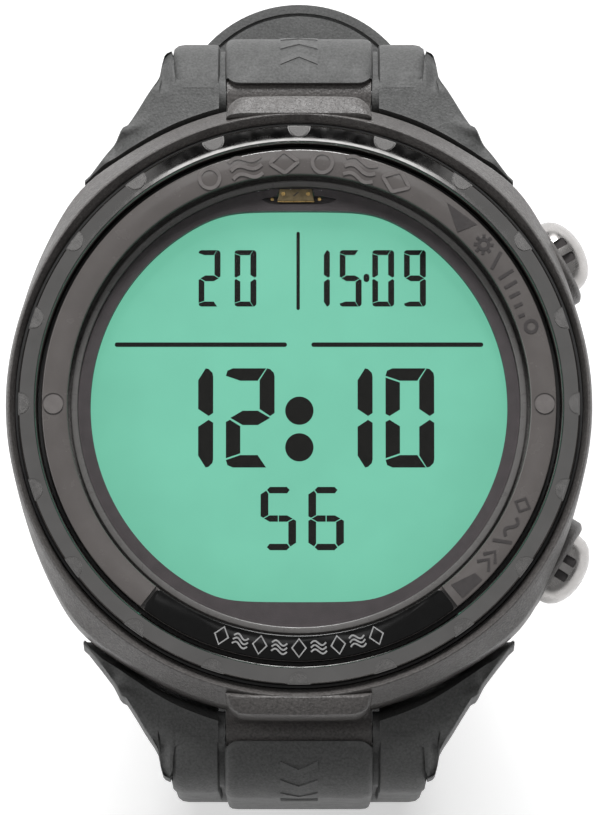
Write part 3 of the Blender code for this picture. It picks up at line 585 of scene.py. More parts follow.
def make_screws():
    for number, angle in enumerate(SCREW_ANGLES, 1):
        shape = soften([(0.65, 1.0), (1.05, 1.0), (1.05, 0.35), (0.85, 0.25)], 0.12)
        profile = [(0, 6.4), (0.45, 6.4), (0.65, 6.0)] + shape + [(0, 0.22)]
        spot = case_point(SCREW_CIRCLE_R, angle)
        spot = spot @ Matrix.Rotation(radians(angle * 1.7), 4, "Z")
        screw = mesh_object("cover_screw_%d" % number, revolve(profile, 32, False), spot)
        cut(screw, block((-0.65, -0.14, 0.0), (0.65, 0.14, 0.6)), spot)
        cut(screw, block((-0.14, -0.65, 0.0), (0.14, 0.65, 0.6)), spot)
        piece(screw, "case", "polished_steel", ["rear_screw_%d" % number])


def make_hatch():
    """Battery hatch: coin slot, chamfered rim, and open and close arrows."""
    outline = [
        (13.0, 2.8), (13.0, 2.5), (12.2, 2.5), (12.2, 1.5), (13.0, 1.5), (13.0, 1.0), (14.2, 1.0),
        (14.2, 0.35), (13.85, 0.0), (12.4, 0.0), (12.2, 0.25), (11.6, 0.25), (11.4, 0.0),
    ]
    profile = [(0.0, 2.8)] + soften(outline, 0.12, steps=2) + [(0.0, 0.0)]
    hatch = mesh_object("hatch_cap", revolve(profile, 128, closed=False))
    slot = [(-7.9, -0.9), (7.9, -0.9)] + arc(0.9, -90, 90, 8, (7.9, 0.0))[1:]
    slot += [(-7.9, 0.9)] + arc(0.9, 90, 270, 8, (-7.9, 0.0))[1:-1]
    cut(hatch, prism(slot, -1.0, 0.8))
    for sign in (1, -1):
        bend = arc(6.2, 62, 112, 10) + arc(5.6, 112, 62, 10)
        turn = CASE_SPOT @ Matrix.Rotation(0.0 if sign > 0 else pi, 4, "Z")
        cut(hatch, prism(bend, -1.0, 0.25), turn)
        head = [polar(7.0, 60)[:2], polar(4.8, 60)[:2], polar(5.9, 46)[:2]]
        cut(hatch, prism(head, -1.0, 0.25), turn)
    piece(hatch, "hatch", "hatch_plastic", ["battery_hatch"])
    ring = [(12.65 + 0.35 * cos(a), 2.0 + 0.35 * sin(a)) for a in [2 * pi * i / 12 for i in range(12)]]
    seal = mesh_object("hatch_seal_ring", revolve(ring, 96))
    piece(seal, "hatch_seal", "seal_rubber", ["hatch_oring"])


# ---- display


def window_outline(grow, steps):
    """A circle whose top and bottom are drawn out flat, with long soft corners."""
    points = []
    for x, y in arc(WINDOW_R + grow, 0, 360, steps)[:-1]:
        flat = (WINDOW_TOP_Y if y > 0 else -WINDOW_LOW_Y) + grow
        over = abs(y) - flat
        eased = abs(y) - 0.35 * log(1 + exp(over / 0.35))
        points.append((x, eased if y > 0 else -eased))
    return points


# Which bars, named as on a seven-segment display, each digit lights
BARS = {"0": "abcdef", "1": "bc", "2": "abged", "5": "afgcd", "6": "afgecd", "9": "abfgcd"}


def upper_or_twin(upper, kind, h):
    """An upper bar's outline, or for a lower bar its upper twin's, turned over."""
    if kind in upper:
        return upper[kind]
    twin = {"d": "a", "c": "b", "e": "f"}[kind]
    return [(x, h - y) for x, y in upper[twin]]


def bar_outline(kind, w, h, t):
    """One bar of a slant-cut digit that fills the box from the origin to (w, h)."""
    m = h / 2
    upper = {
        "a": [(0, h - 0.5 * t), (0.1 * t, h - 0.16 * t), (0.46 * t, h), (w - 0.57 * t, h)]
        + [(w - 1.13 * t, h - 0.83 * t), (0.96 * t, h - 0.83 * t)],
        "b": [(w - 0.5 * t, h), (w - 0.3 * t, h - 0.05 * t), (w - 0.05 * t, h - 0.3 * t), (w, h - 0.55 * t)]
        + [(w, m + 0.33 * t), (w - 0.3 * t, m + 0.13 * t), (w - t, m + 0.6 * t), (w - t, h - 0.8 * t)],
        "f": [(0, h - 0.62 * t), (0.96 * t, h - 0.95 * t), (0.96 * t, m + 0.56 * t)]
        + [(0.27 * t, m + 0.13 * t), (0, m + 0.27 * t)],
        "g": [(0.3 * t, m), (1.12 * t, m + 0.48 * t), (w - 1.12 * t, m + 0.48 * t)]
        + [(w - 0.3 * t, m), (w - 1.12 * t, m - 0.48 * t), (1.12 * t, m - 0.48 * t)],
    }
    return upper_or_twin(upper, kind, h)


def small_bar_outline(kind, w, h, t):
    """The same for the seconds, whose bars have mitred ends."""
    m = h / 2
    upper = {
        "a": [(0.85 * t, h - 0.4 * t), (1.25 * t, h), (w - 1.25 * t, h), (w - 0.85 * t, h - 0.4 * t)]
        + [(w - 1.2 * t, h - 0.85 * t), (1.2 * t, h - 0.85 * t)],
        "f": [(0.75 * t, h - 0.5 * t), (1.03 * t, h - 0.9 * t), (1.03 * t, m + 0.45 * t)]
        + [(0.35 * t, m + 0.1 * t), (0, m + 0.3 * t), (0, h - t)],
    }
    upper["b"] = [(w - x, y) for x, y in upper["f"]]
    return upper_or_twin(upper, kind, h)


def add_prism(bm, outline, low, high):
    """Adds a flat outline's prism to bm."""
    add_grid(bm, [[(x, y, z) for x, y in outline] for z in (low, high)])


def add_digit(bm, mark, left, low, w, h, t, outline_of=bar_outline):
    for kind in BARS[mark]:
        if outline_of is small_bar_outline and kind == "g":
            for side in (1, -1):
                half = [(0.45 * t, 0), (1.2 * t, 0.42 * t), (w / 2 - 0.06 * t, 0.42 * t)]
                half += [(x, -y) for x, y in reversed(half[1:])]
                turned = [(left + (x if side > 0 else w - x), low + h / 2 + y) for x, y in half]
                add_prism(bm, turned, DIGIT_LOW, DIGIT_HIGH)
            continue
        outline = [(left + x, low + y) for x, y in outline_of(kind, w, h, t)]
        add_prism(bm, outline, DIGIT_LOW, DIGIT_HIGH)


def add_bar(bm, x0, x1, y0, y1):
    """A bar of the display, with round ends along its longer side."""
    if x1 - x0 > y1 - y0:
        r = (y1 - y0) / 2
        ends = arc(r, -90, 90, 8, (x1 - r, y0 + r)) + arc(r, 90, 270, 8, (x0 + r, y0 + r))
    else:
        r = (x1 - x0) / 2
        ends = arc(r, 0, 180, 8, (x0 + r, y1 - r)) + arc(r, 180, 360, 8, (x0 + r, y0 + r))
    add_prism(bm, ends, DIGIT_LOW, DIGIT_HIGH)


def make_digits():
    """What the display shows, in digits only: a number, the date, the time and the seconds."""
    bm = bmesh.new()
    for mark, left in (("2", -8.60), ("0", -5.52), ("1", 0.77), ("5", 3.49), ("0", 6.28), ("9", 9.00)):
        add_digit(bm, mark, left, 8.75, 1.87, 4.86, 0.51)
    add_bar(bm, 5.53, 6.03, 10.86, 11.57)
    add_bar(bm, -0.22, 0.07, 8.45, 15.2)
    add_bar(bm, -15.77, -1.03, 5.27, 5.65)
    add_bar(bm, 1.06, 15.77, 5.27, 5.65)
    for mark, left in (("1", -11.50), ("2", -6.25), ("1", 2.13), ("0", 7.40)):
        add_digit(bm, mark, left, -5.10, 4.16, 8.52, 1.28)
    for y in (-0.22, -3.37):
        add_prism(bm, circle(1.21, 40, (0.03, y)), DIGIT_LOW, DIGIT_HIGH)
    for mark, left in (("5", -3.28), ("6", 0.80)):
        add_digit(bm, mark, left, -12.19, 3.03, 5.42, 0.64, small_bar_outline)
    digits = mesh_object("display_segments", bm)
    piece(digits, "case", "segment_ink")


def make_display():
    cell = window_outline(0.3, 120)
    panel = mesh_object("lcd_cell", bevel(prism(cell, 10.5, LCD_TOP), 0.08, 2))
    piece(panel, "case", "lcd_glow", ["lcd_panel"])
    make_digits()
    rim = [(0, MASK_TOP), (18.85, MASK_TOP), (18.85, 12.63), (18.2, 12.63), (18.2, MASK_LOW), (0, MASK_LOW)]
    mask = mesh_object("window_mask", revolve(rim, 160, False))
    cut(mask, prism(window_outline(0.0, 200), 10.0, 14.0))
    pocket = [(-3.2, 17.85), (-2.6, 17.5), (-1.9, 17.4), (1.7, 17.4), (2.6, 17.5), (3.2, 17.85)]
    pocket += [(2.0, 18.1), (-2.0, 18.1)]
    cut(mask, prism(pocket, 12.2, 14.0))
    cut(mask, prism([(-1.95, 17.6), (1.4, 17.6), (1.2, 18.78), (-1.75, 18.78)], 12.2, 14.0))
    piece(mask, "case", "mask_black", ["display_mask"])
    outline = [(-1.85, 17.7), (1.3, 17.7), (1.1, 18.72), (-1.65, 18.72)]
    led = mesh_object("led_body", bevel(prism(outline, 12.35, 12.84), 0.08, 2))
    piece(led, "case", "led_brass", ["backlight_led"])
    bm = bmesh.new()
    for x in (-1.35, 0.78):
        add_prism(bm, circle(0.17, 16, (x, 18.3)), 12.8, 12.88)
    for x in (-2.3, 1.75):
        add_prism(bm, circle(0.15, 12, (x, 17.9)), 12.25, 12.42)
    add_prism(bm, [(-1.85, 17.62), (1.3, 17.62), (1.3, 17.72), (-1.85, 17.72)], 12.35, 12.7)
    piece(mesh_object("led_pads", bm), "case", "gold_plate")
    bm = bmesh.new()
    add_prism(bm, [(-0.55, 18.1), (-0.4, 18.1), (0.0, 18.45), (-0.15, 18.45)], 12.82, 12.87)
    piece(mesh_object("led_mark", bm), "case", "ink_and_slot_shade")


def make_lens():
    dome = [(0.0, 14.9), (6.0, 14.87), (12.0, 14.8), (16.5, 14.7), (18.2, 14.62), (18.58, 14.5), (18.7, 14.3)]
    dome += [(18.7, RING_LOW), (0.0, RING_LOW)]
    lens = mesh_object("lens_disc", revolve(dome, 144, False))
    piece(lens, "case", "lens_glass", ["lens"])
    ring = soften([(18.88, 13.25), (19.45, 13.25), (19.45, 12.65), (18.88, 12.65)], 0.12, True)
    gasket = mesh_object("lens_seal", revolve(ring, 160))
    piece(gasket, "case", "gasket_rubber", ["lens_gasket"])


# ---- rings


def on_ring(points, radius, middle):
    """Places a small flat sign, drawn about the origin with +Y outwards, on the ring."""
    a = radians(middle)
    placed = []
    for x, y in points:
        angle = a - x / radius
        placed.append(((radius + y) * cos(angle), (radius + y) * sin(angle)))
    return placed


def at(middle, radius):
    return lambda points: on_ring(points, radius, middle)


def outline_stroke(points, width, closed=False):
    """A line of points as a band of the given width."""
    spots = [Vector(p) for p in points]
    count = len(spots)
    left, right = [], []
    for i, spot in enumerate(spots):
        before = spots[i - 1] if (i or closed) else spot
        after = spots[(i + 1) % count] if (i < count - 1 or closed) else spot
        ahead = (after - before).normalized()
        side = Vector((-ahead.y, ahead.x)) * width / 2
        left.append(tuple(spot + side))
        right.append(tuple(spot - side))
    return left, right


def add_stroke(bm, points, width, low, high, place, closed=False):
    """Adds a line as a raised band; place maps its flat points onto the ring."""
    left, right = outline_stroke(points, width, closed)
    left, right = place(left), place(right)
    sides = zip(left, right)
    rings = [[(*a, low), (*b, low), (*b, high), (*a, high)] for a, b in sides]
    add_grid(bm, rings, closed)
    bmesh.ops.recalc_face_normals(bm, faces=bm.faces)


def wave(left, right, height, waves, steps=24):
    return [
        (left + (right - left) * i / steps, height / 2 * sin(2 * pi * waves * i / steps))
        for i in range(steps + 1)
    ]


def circle(radius, steps=24, middle=(0.0, 0.0)):
    return arc(radius, 0, 360, steps, middle)[:-1]


def make_label():
    """Label ring with its plate's seat, two dots, wedges and plain signs."""
    outline = [(LABEL_IN_R, LABEL_TOP - 0.05), (LABEL_OUT_R, LABEL_TOP)]
    outline += [(LABEL_OUT_R, RING_LOW), (LABEL_IN_R, RING_LOW)]
    band = mesh_object("label_band", revolve(soften(outline, 0.15, True), 192))
    seat = arc(22.5, PLATE_FROM, PLATE_TO, 40) + arc(19.0, PLATE_TO, PLATE_FROM, 40)
    cut(band, prism(seat, 14.3, 16.0))
    for angle in (0, 180):
        spot = case_point(DOT_R, angle)
        cut(band, rod(0.95, (0, 0, LABEL_TOP - 0.12), (0, 0, 16), 32), spot)
    piece(band, "case", "label_plastic", ["label_ring"])
    dots = bmesh.new()
    for angle in (0, 180):
        x, y, _ = polar(DOT_R, angle)
        add_prism(dots, circle(0.82, 32, (x, y)), LABEL_TOP - 0.1, LABEL_TOP + 0.06)
    raised = mesh_object("label_dots", bevel(dots, 0.05, 2, 60))
    piece(raised, "case", "relief_ink")
    make_signs()


def make_signs():
    """Dark printed signs by the buttons, and raised plain signs at 12 o'clock."""
    low, high = LABEL_TOP - 0.02, LABEL_TOP + 0.035
    ink = bmesh.new()

    def line(middle, *points, closed=False):
        add_stroke(ink, list(points), 0.27, low, high, at(middle, SIGN_R), closed)

    add_prism(ink, on_ring([(-1.75, 0.55), (1.3, 0.75), (0.55, -0.85)], SIGN_R, 49), low, high)
    add_prism(ink, on_ring([(-1.1, 0.75), (1.1, 0.75), (1.1, -0.75), (-1.1, -0.1)], SIGN_R, -47), low, high)
    line(41, *circle(0.42), closed=True)
    for k in range(8):
        line(41, *[(r * cos(k * pi / 4), r * sin(k * pi / 4)) for r in (0.58, 0.85)])
    line(36.2, (-0.35, 0.75), (0.35, -0.75))
    for k in range(5):
        line(32.2 - 2.6 * k, (0.0, -0.7), (0.0, 0.7 - 0.22 * k))
    line(18.6, *circle(0.5, 20), closed=True)
    line(-40.5, (0.4, 0.65), (-0.4, 0.0), (0.4, -0.65))
    line(-38.2, (0.4, 0.65), (-0.4, 0.0), (0.4, -0.65))
    line(-34.2, (-0.35, 0.75), (0.35, -0.75))
    line(-30.2, *wave(-0.9, 0.9, 0.7, 1.0, 14))
    line(-24.4, (0.0, 0.65), (0.6, 0.0), (0.0, -0.65), (-0.6, 0.0), closed=True)
    piece(mesh_object("label_signs", ink), "case", "ink_and_slot_shade")
    crest = bmesh.new()

    def raised(middle, points, closed=False):
        add_stroke(crest, points, 0.3, low, high + 0.05, at(middle, CREST_R), closed)

    for k in range(6):
        middle = 111.5 - 9.0 * k
        if k % 3 == 0:
            raised(middle, circle(0.85, 24), True)
        elif k % 3 == 1:
            for lift in (-0.72, 0.0, 0.72):
                raised(middle, [(x, y + lift) for x, y in wave(-1.35, 1.35, 0.5, 1.0, 18)])
        else:
            raised(middle, soften([(0.0, 0.95), (1.25, 0.0), (0.0, -0.95), (-1.25, 0.0)], 0.2, True), True)
    piece(mesh_object("crest_waves", crest), "case", "relief_ink")


def make_nameplate():
    """Gloss black plate with a plain silver wave and diamond pattern."""
    start, end = PLATE_FROM + 0.7, PLATE_TO - 0.7
    outline = arc(21.86, start, end, 48) + arc(19.74, end, start, 48)
    solid = bevel(prism(soften(outline, 0.5, True), 14.35, 15.0), 0.1, 2, 50)
    plate = mesh_object("name_plate", solid)
    piece(plate, "case", "nameplate_plastic", ["nameplate"])
    silver = bmesh.new()
    low, high = 14.98, 15.04

    for k in range(9):
        angle = 251.6 + 4.6 * k
        if k % 2:
            for lift in (-0.36, 0.0, 0.36):
                line = [(x, y + lift) for x, y in wave(-0.66, 0.66, 0.42, 1.0, 14)]
                add_stroke(silver, line, 0.14, low, high, at(angle, CREST_R))
        else:
            diamond = [(0.0, 0.78), (0.6, 0.0), (0.0, -0.78), (-0.6, 0.0)]
            add_stroke(silver, diamond, 0.15, low, high, at(angle, CREST_R), True)
    piece(mesh_object("plate_pattern", silver), "case", "silver_print")


def make_trim():
    """Trim ring with twenty half-moon marks let into its outer edge."""
    crown = []
    for k in range(9):
        across = 1.22 * k / 8
        crown.append((22.55 + across, TRIM_TOP - 0.052 * across - 0.074 * across**2))
    outline = [(TRIM_IN_R, 15.05), (TRIM_IN_R + 0.12, 15.28)] + crown
    outline += [(TRIM_OUT_R, crown[-1][1] - 0.2), (TRIM_OUT_R, RING_LOW), (TRIM_IN_R, RING_LOW)]
    ring = mesh_object("bezel_ring", revolve(outline, 240))
    marks = bmesh.new()
    pockets = bmesh.new()
    for k in range(MARK_COUNT):
        angle = 360.0 * k / MARK_COUNT
        x, y, _ = polar(23.8, angle)
        add_prism(pockets, circle(0.98, 32, (x, y)), 14.9, 16.0)
        inner = arc(0.86, angle + 92, angle + 268, 20, (x, y))
        add_prism(marks, inner, 14.95, TRIM_TOP - 0.15)
    cut(ring, pockets)
    piece(ring, "case", "trim_metal", ["trim_ring"])
    moons = mesh_object("bezel_marks", bevel(marks, 0.06, 2, 60))
    piece(moons, "case", "mark_metal")
    for name, inner_r, outer_r, top in (("trim_seal", 21.98, 22.22, 13.6), ("rim_seal", 23.95, 24.15, 14.2)):
        section = [(inner_r, top), (outer_r, top), (outer_r, 12.65), (inner_r, 12.65)]
        piece(mesh_object(name, revolve(section, 160)), "case", "seal_rubber")


# ---- buttons


def make_button(name):
    """Domed cap, hollow for its spring, with two slots on each side, and its grooved stem; dark blocks in the
    slots paint the shade in their depths.
    """
    spot = button_spot(name)
    dome = [(0.0, 28.3), (0.8, 28.24), (1.5, 28.08), (2.2, 27.78), (2.75, 27.36), (3.1, 26.85), (3.24, 26.4)]
    profile = dome + soften([(3.28, 25.9), (3.28, 25.0), (2.46, 25.0), (2.46, 26.2), (0.8, 26.2)], 0.05)
    profile += [(0.8, 18.2), (0.5, 18.2), (0.5, 17.65), (0.8, 17.65), (0.8, 17.4), (0.7, 17.3), (0.0, 17.3)]
    button = mesh_object(name + "_cap", revolve(profile, 72, False), spot)
    for turn in (0, 180):
        side = spot @ Matrix.Rotation(radians(turn), 4, "Z")
        for across in (0.72, -0.72):
            cut(button, block((2.7, across - 0.38, 25.8), (3.6, across + 0.38, 27.1), 0.15), side)
    piece(button, name, "cap_steel", [name + "_button"])
    # Painted shade: thin dark blocks set in the slots stand in for the shade in their depths.
    slots = bmesh.new()
    for side in (2.7, -2.7):
        for across in (0.72, -0.72):
            low, high = (side - 0.1, across - 0.35), (side + 0.1, across + 0.35)
            add_prism(slots, [low, (high[0], low[1]), high, (low[0], high[1])], 25.84, 27.04)
    piece(mesh_object(name + "_slot_shade", slots, spot), name, "ink_and_slot_shade")


# ---- strap


def follow(moves, heading=12.0, stride=3.0, straight=1.5):
    """Places (y, z, heading, distance) along straights and bends from the pin."""
    y, z, gone = 0.0, 0.0, 0.0
    places = [(y, z, heading, gone)]
    for move in moves:
        if move[0] == "go":
            steps = max(1, round(move[1] / straight))
            chord, turn, length = move[1] / steps, 0.0, move[1] / steps
        else:
            steps = max(2, round(move[2] / stride))
            turn = move[2] / steps
            chord = 2 * move[1] * sin(radians(turn / 2))
            length = move[1] * radians(turn)
        for _ in range(steps):
            middle = radians(heading + turn / 2)
            y += chord * cos(middle)
            z -= chord * sin(middle)
            heading += turn
            gone += length
            places.append((y, z, heading, gone))
    return places


def offset(place, out):
    y, z, heading, _ = place
    return y + out * sin(radians(heading)), z + out * cos(radians(heading))


def half_thickness(gone):
    share = min(1.0, gone / TAPER_LENGTH)
    return ROOT_HALF_THICK + (STRAP_HALF_THICK - ROOT_HALF_THICK) * share


def strap_section(gone, rib_length):
    """Half a section of the strap as (x, offset), from the outer middle round the edge."""
    t = half_thickness(gone)
    side = t + 0.4 * (1 - smooth_step(gone, 8.0, 15.0))
    lift = 1 - smooth_step(gone, rib_length - 3, rib_length)
    top = t + RIB_HEIGHT * lift - 0.25 * (1 - lift)
    groove = 0.6 * lift
    return [
        (0.0, top), (3.0, top), (5.45, top), (5.95, top - 0.06 * lift), (6.2, top - 0.22 * lift),
        (6.32, top - 0.5 * lift), (6.38, side - groove), (6.82, side - groove),
        (6.88, side - 0.5 * groove), (7.0, side - 0.12 * groove), (7.4, side), (9.9, side),
        (10.45, side - 0.10), (10.82, side - 0.38), (STRAP_HALF, t - 0.85), (STRAP_HALF, 0.0),
        (STRAP_HALF, -t + 0.8), (10.85, -t + 0.35), (10.5, -t + 0.08), (10.0, -t), (5.0, -t),
        (0.0, -t),
    ]


def strap_rings(path, rib_length):
    rings = []
    for place in path:
        half = strap_section(place[3], rib_length)
        full = half + [(-x, o) for x, o in reversed(half[1:-1])]
        rings.append([(x, *offset(place, o)) for x, o in full])
    return rings


# Outer edge of a wing seen from the front, as (x, y) from the pin's middle: notches and teeth
WING_EDGE = [
    (6.9, 0.9), (10.6, 1.2), (10.9, 3.8), (11.6, 3.5), (11.85, 2.6), (12.0, 1.6), (12.4, 0.85),
    (12.85, 0.2), (13.3, -0.5), (13.8, -1.35), (14.3, -2.15), (14.75, -2.85), (15.25, -3.1),
    (15.5, -3.6), (15.9, -4.4), (16.5, -5.2), (17.0, -5.85), (17.6, -6.6), (18.1, -7.25),
    (18.5, -7.75),
]


def along_line(table, x):
    """Height of a line of (x, y) points at x."""
    for (x0, y0), (x1, y1) in zip(table, table[1:]):
        if x <= x1:
            return y0 + (y1 - y0) * max(0.0, x - x0) / (x1 - x0)
    return table[-1][1]


def wing_top(x, y):
    """Height of a wing's outer face: level, then a ridge, a hollow and a last low bump."""
    height = along_line([(6.6, 2.02), (11.0, 2.0), (15.6, 1.6), (18.5, 0.8)], x)
    height += 0.12 * min(4.0, max(0.0, -0.42 - y))
    if y > -0.42:
        height = min(height, -3.37 + sqrt(5.35**2 - (y + 0.42) ** 2))
    height -= 0.8 * smooth_step(x, 10.9, 11.7) * smooth_step(y, 0.3, 1.2)
    away = y + 2.5 + 0.31 * (x - 12.4)
    height += 0.4 * exp(-((away / 0.5) ** 2)) * smooth_step(x, 12.4, 15.2) * (1 - smooth_step(x, 15.6, 16.0))
    height -= 0.7 * exp(-(((x - 15.9) / 0.6) ** 2) - ((y + 4.6) / 0.9) ** 2)
    return height + 0.25 * exp(-(((x - 16.8) / 0.6) ** 2) - ((y + 6.2) / 0.7) ** 2)


def wing_reach(reach, height, swing):
    """How far in the wing may go at a height, so that it clears the case as it swings."""
    turn = radians(swing)
    if height > reach * sin(turn):
        return (reach - height * sin(turn)) / cos(turn)
    return sqrt(max(0.0, reach**2 - height**2))


def wing_ring(x, swing):
    """Section of a wing at x: up its inner end, across its outer face and down its edge."""
    reach = PIN_Y - sqrt((WING_IN_R + 0.38 * smooth_step(x, 13.5, 18.3)) ** 2 - x**2)
    outer_y = max(along_line(WING_EDGE, x), 0.35 - reach)
    low = max(-2.6, -0.8 * reach)
    crest = wing_top(x, -wing_reach(reach, 1.7, swing))
    levels = (0.0, 0.35 * crest, 0.6 * crest, 0.8 * crest, 0.93 * crest, crest)
    lip = 0.5 + 0.3 * smooth_step(x, 11.0, 15.0) - 0.5 * smooth_step(x, 17.6, 18.4)
    ring = [(-reach - lip, low), (-reach - 0.6 * lip, low * 0.6), (-reach, low * 0.2)]
    ring += [(-wing_reach(reach, z, swing), z) for z in levels]
    start = ring[-1][0]
    for k in range(1, 13):
        y = start + (outer_y - 0.25 - start) * k / 12
        ring.append((y, wing_top(x, y)))
    edge = ring[-1][1]
    ring += [(outer_y - 0.08, edge - 0.07), (outer_y, edge - 0.3), (outer_y + 0.15, edge * 0.2)]
    ring += [(outer_y + 0.35, low * 0.6), (outer_y + 0.2, low)]
    return [(x, y, z) for y, z in ring]


def wing_mesh(sign, swing):
    count = 56
    rings = [wing_ring(6.9 + (18.46 - 6.9) * k / count, swing) for k in range(count + 1)]
    return grid_mesh([[(sign * x, y, z) for x, y, z in ring] for ring in rings])


def lip_ring(x):
    """Room for the lug's hood, cut from the rib's front edge, which has round corners."""
    side = min(1.2, max(0.0, abs(x) - 5.1))
    back = 1.2 - sqrt(1.44 - side**2)
    shape = [(-1.0, 1.9), (0.62 + back, 1.9), (0.8 + back, 2.4), (0.95 + back, 4.0), (-1.0, 4.0)]
    return [(x, y, z) for y, z in shape]


def make_band(name, moves, spot, rib_length):
    path = follow(moves)
    return mesh_object(name, grid_mesh(strap_rings(path, rib_length)), spot), path


def add_root(strap, spot, swing):
    """The lug end of a strap half: barrel, wings, and room for the lug and its hood."""
    join(strap, rod(BARREL_R, (-10.8, 0, 0), (10.8, 0, 0), 48), spot)
    for sign in (1, -1):
        join(strap, wing_mesh(sign, swing), spot)
    cut(strap, rod(LUG_ROOM_R, (-6.3, 0, 0), (6.3, 0, 0), 48), spot)
    cut(strap, block((-6.3, -4.0, -2.2), (6.3, 0.0, 4.0)), spot)
    half = [5.1 + 1.2 * sin(pi / 2 * k / 6) for k in range(7)] + [6.86]
    cut(strap, grid_mesh([lip_ring(x) for x in [-x for x in reversed(half)] + half]), spot)
    cut(strap, rod(PIN_R + 0.15, (-10.6, 0, 0), (10.6, 0, 0), 30), spot)


def place_at(path, gone):
    """The path's place at a distance from the pin."""
    for before, after in zip(path, path[1:]):
        if gone <= after[3]:
            share = (gone - before[3]) / (after[3] - before[3])
            return tuple(a + (b - a) * share for a, b in zip(before, after))
    return path[-1]


def rib_signs(name, path, spot, body):
    """Raised chevrons along the rib, in place of a moulded name."""
    bm = bmesh.new()
    for k in range(7):
        middle = 1.5 + 1.15 * k
        rows = []
        for i in range(-6, 7):
            x = 1.6 * i / 6
            bend = 0.5 * (1 - abs(i) / 6)
            row = []
            for along, out in ((-0.22, -0.1), (0.22, -0.1), (0.18, 0.1), (-0.18, 0.1)):
                place = place_at(path, middle + bend + along)
                row.append((x, *offset(place, half_thickness(place[3]) + RIB_HEIGHT + out)))
            rows.append(row)
        add_grid(bm, rows)
    bmesh.ops.recalc_face_normals(bm, faces=bm.faces)
    piece(mesh_object(name, bm, spot), body, "strap_rubber")


def make_short_half():
    """Short half, whose far end is a slotted barrel for the buckle's pin; returns its path."""
    strap, path = make_band("strap_short", SHORT_MOVES, UPPER_SPOT, SHORT_RIB)
    y, z, heading, _ = path[-1]
    lean = atan2(-sin(radians(heading)), cos(radians(heading)))
    end = UPPER_SPOT @ Matrix.Translation((0.0, y, z)) @ Matrix.Rotation(lean, 4, "X")
    barrel = [(0.0, 11.06), (1.7, 11.06), (2.0, 10.7), (2.0, -10.7), (1.7, -11.06), (0.0, -11.06)]
    join(strap, revolve(barrel, 48, False), end @ Matrix.Rotation(pi / 2, 4, "Y"))
    cut(strap, rod(0.85, (-12, 0, 0), (12, 0, 0), 30), end)
    cut(strap, block((-1.5, -5.6, -3.0), (1.5, 4.0, 3.0)), end)
    add_root(strap, UPPER_SPOT, SHORT_SWING)
    piece(strap, "upper_strap", "strap_rubber", ["strap_upper"], 40)
    rib_signs("rib_bars_short", path, UPPER_SPOT, "upper_strap")
    return path


def make_long_half():
    """Long half: rounded tip, seven holes, and a fine groove round the inner face's edge."""
    strap, path = make_band("strap_long", LONG_MOVES, LOWER_SPOT, LONG_RIB)
    tip_y, tip_z = path[-1][:2]
    middle = tip_y + TIP_R
    rounded = arc(TIP_R, -160, -20, 40, (0.0, middle))
    corner = 14.0
    outline = [(-corner, tip_y - 2.0), (-corner, rounded[0][1])] + rounded
    outline += [(corner, rounded[-1][1]), (corner, tip_y - 2.0)]
    cut(strap, prism(outline, tip_z - 3.0, tip_z + 3.0), LOWER_SPOT)
    for k in range(HOLE_COUNT):
        y = tip_y + HOLE_FROM_TIP + k * HOLE_PITCH
        hole = arc(1.2, -90, 90, 10, (0.9, y)) + arc(1.2, 90, 270, 10, (-0.9, y))
        cut(strap, prism(hole, tip_z - 3.0, tip_z + 3.0), LOWER_SPOT)
    groove = bmesh.new()
    line = [(-10.65, tip_y + 40.0)] + arc(10.65, 180, 360, 48, (0.0, middle)) + [(10.65, tip_y + 40.0)]
    inner_face = tip_z + STRAP_HALF_THICK
    add_stroke(groove, line, 0.3, inner_face - 0.35, inner_face + 1.0, lambda points: points)
    bmesh.ops.recalc_face_normals(groove, faces=groove.faces)
    cut(strap, groove, LOWER_SPOT)
    add_root(strap, LOWER_SPOT, LONG_SWING)
    piece(strap, "lower_strap", "strap_rubber", ["strap_lower"], 40)
    rib_signs("rib_bars_long", path, LOWER_SPOT, "lower_strap")


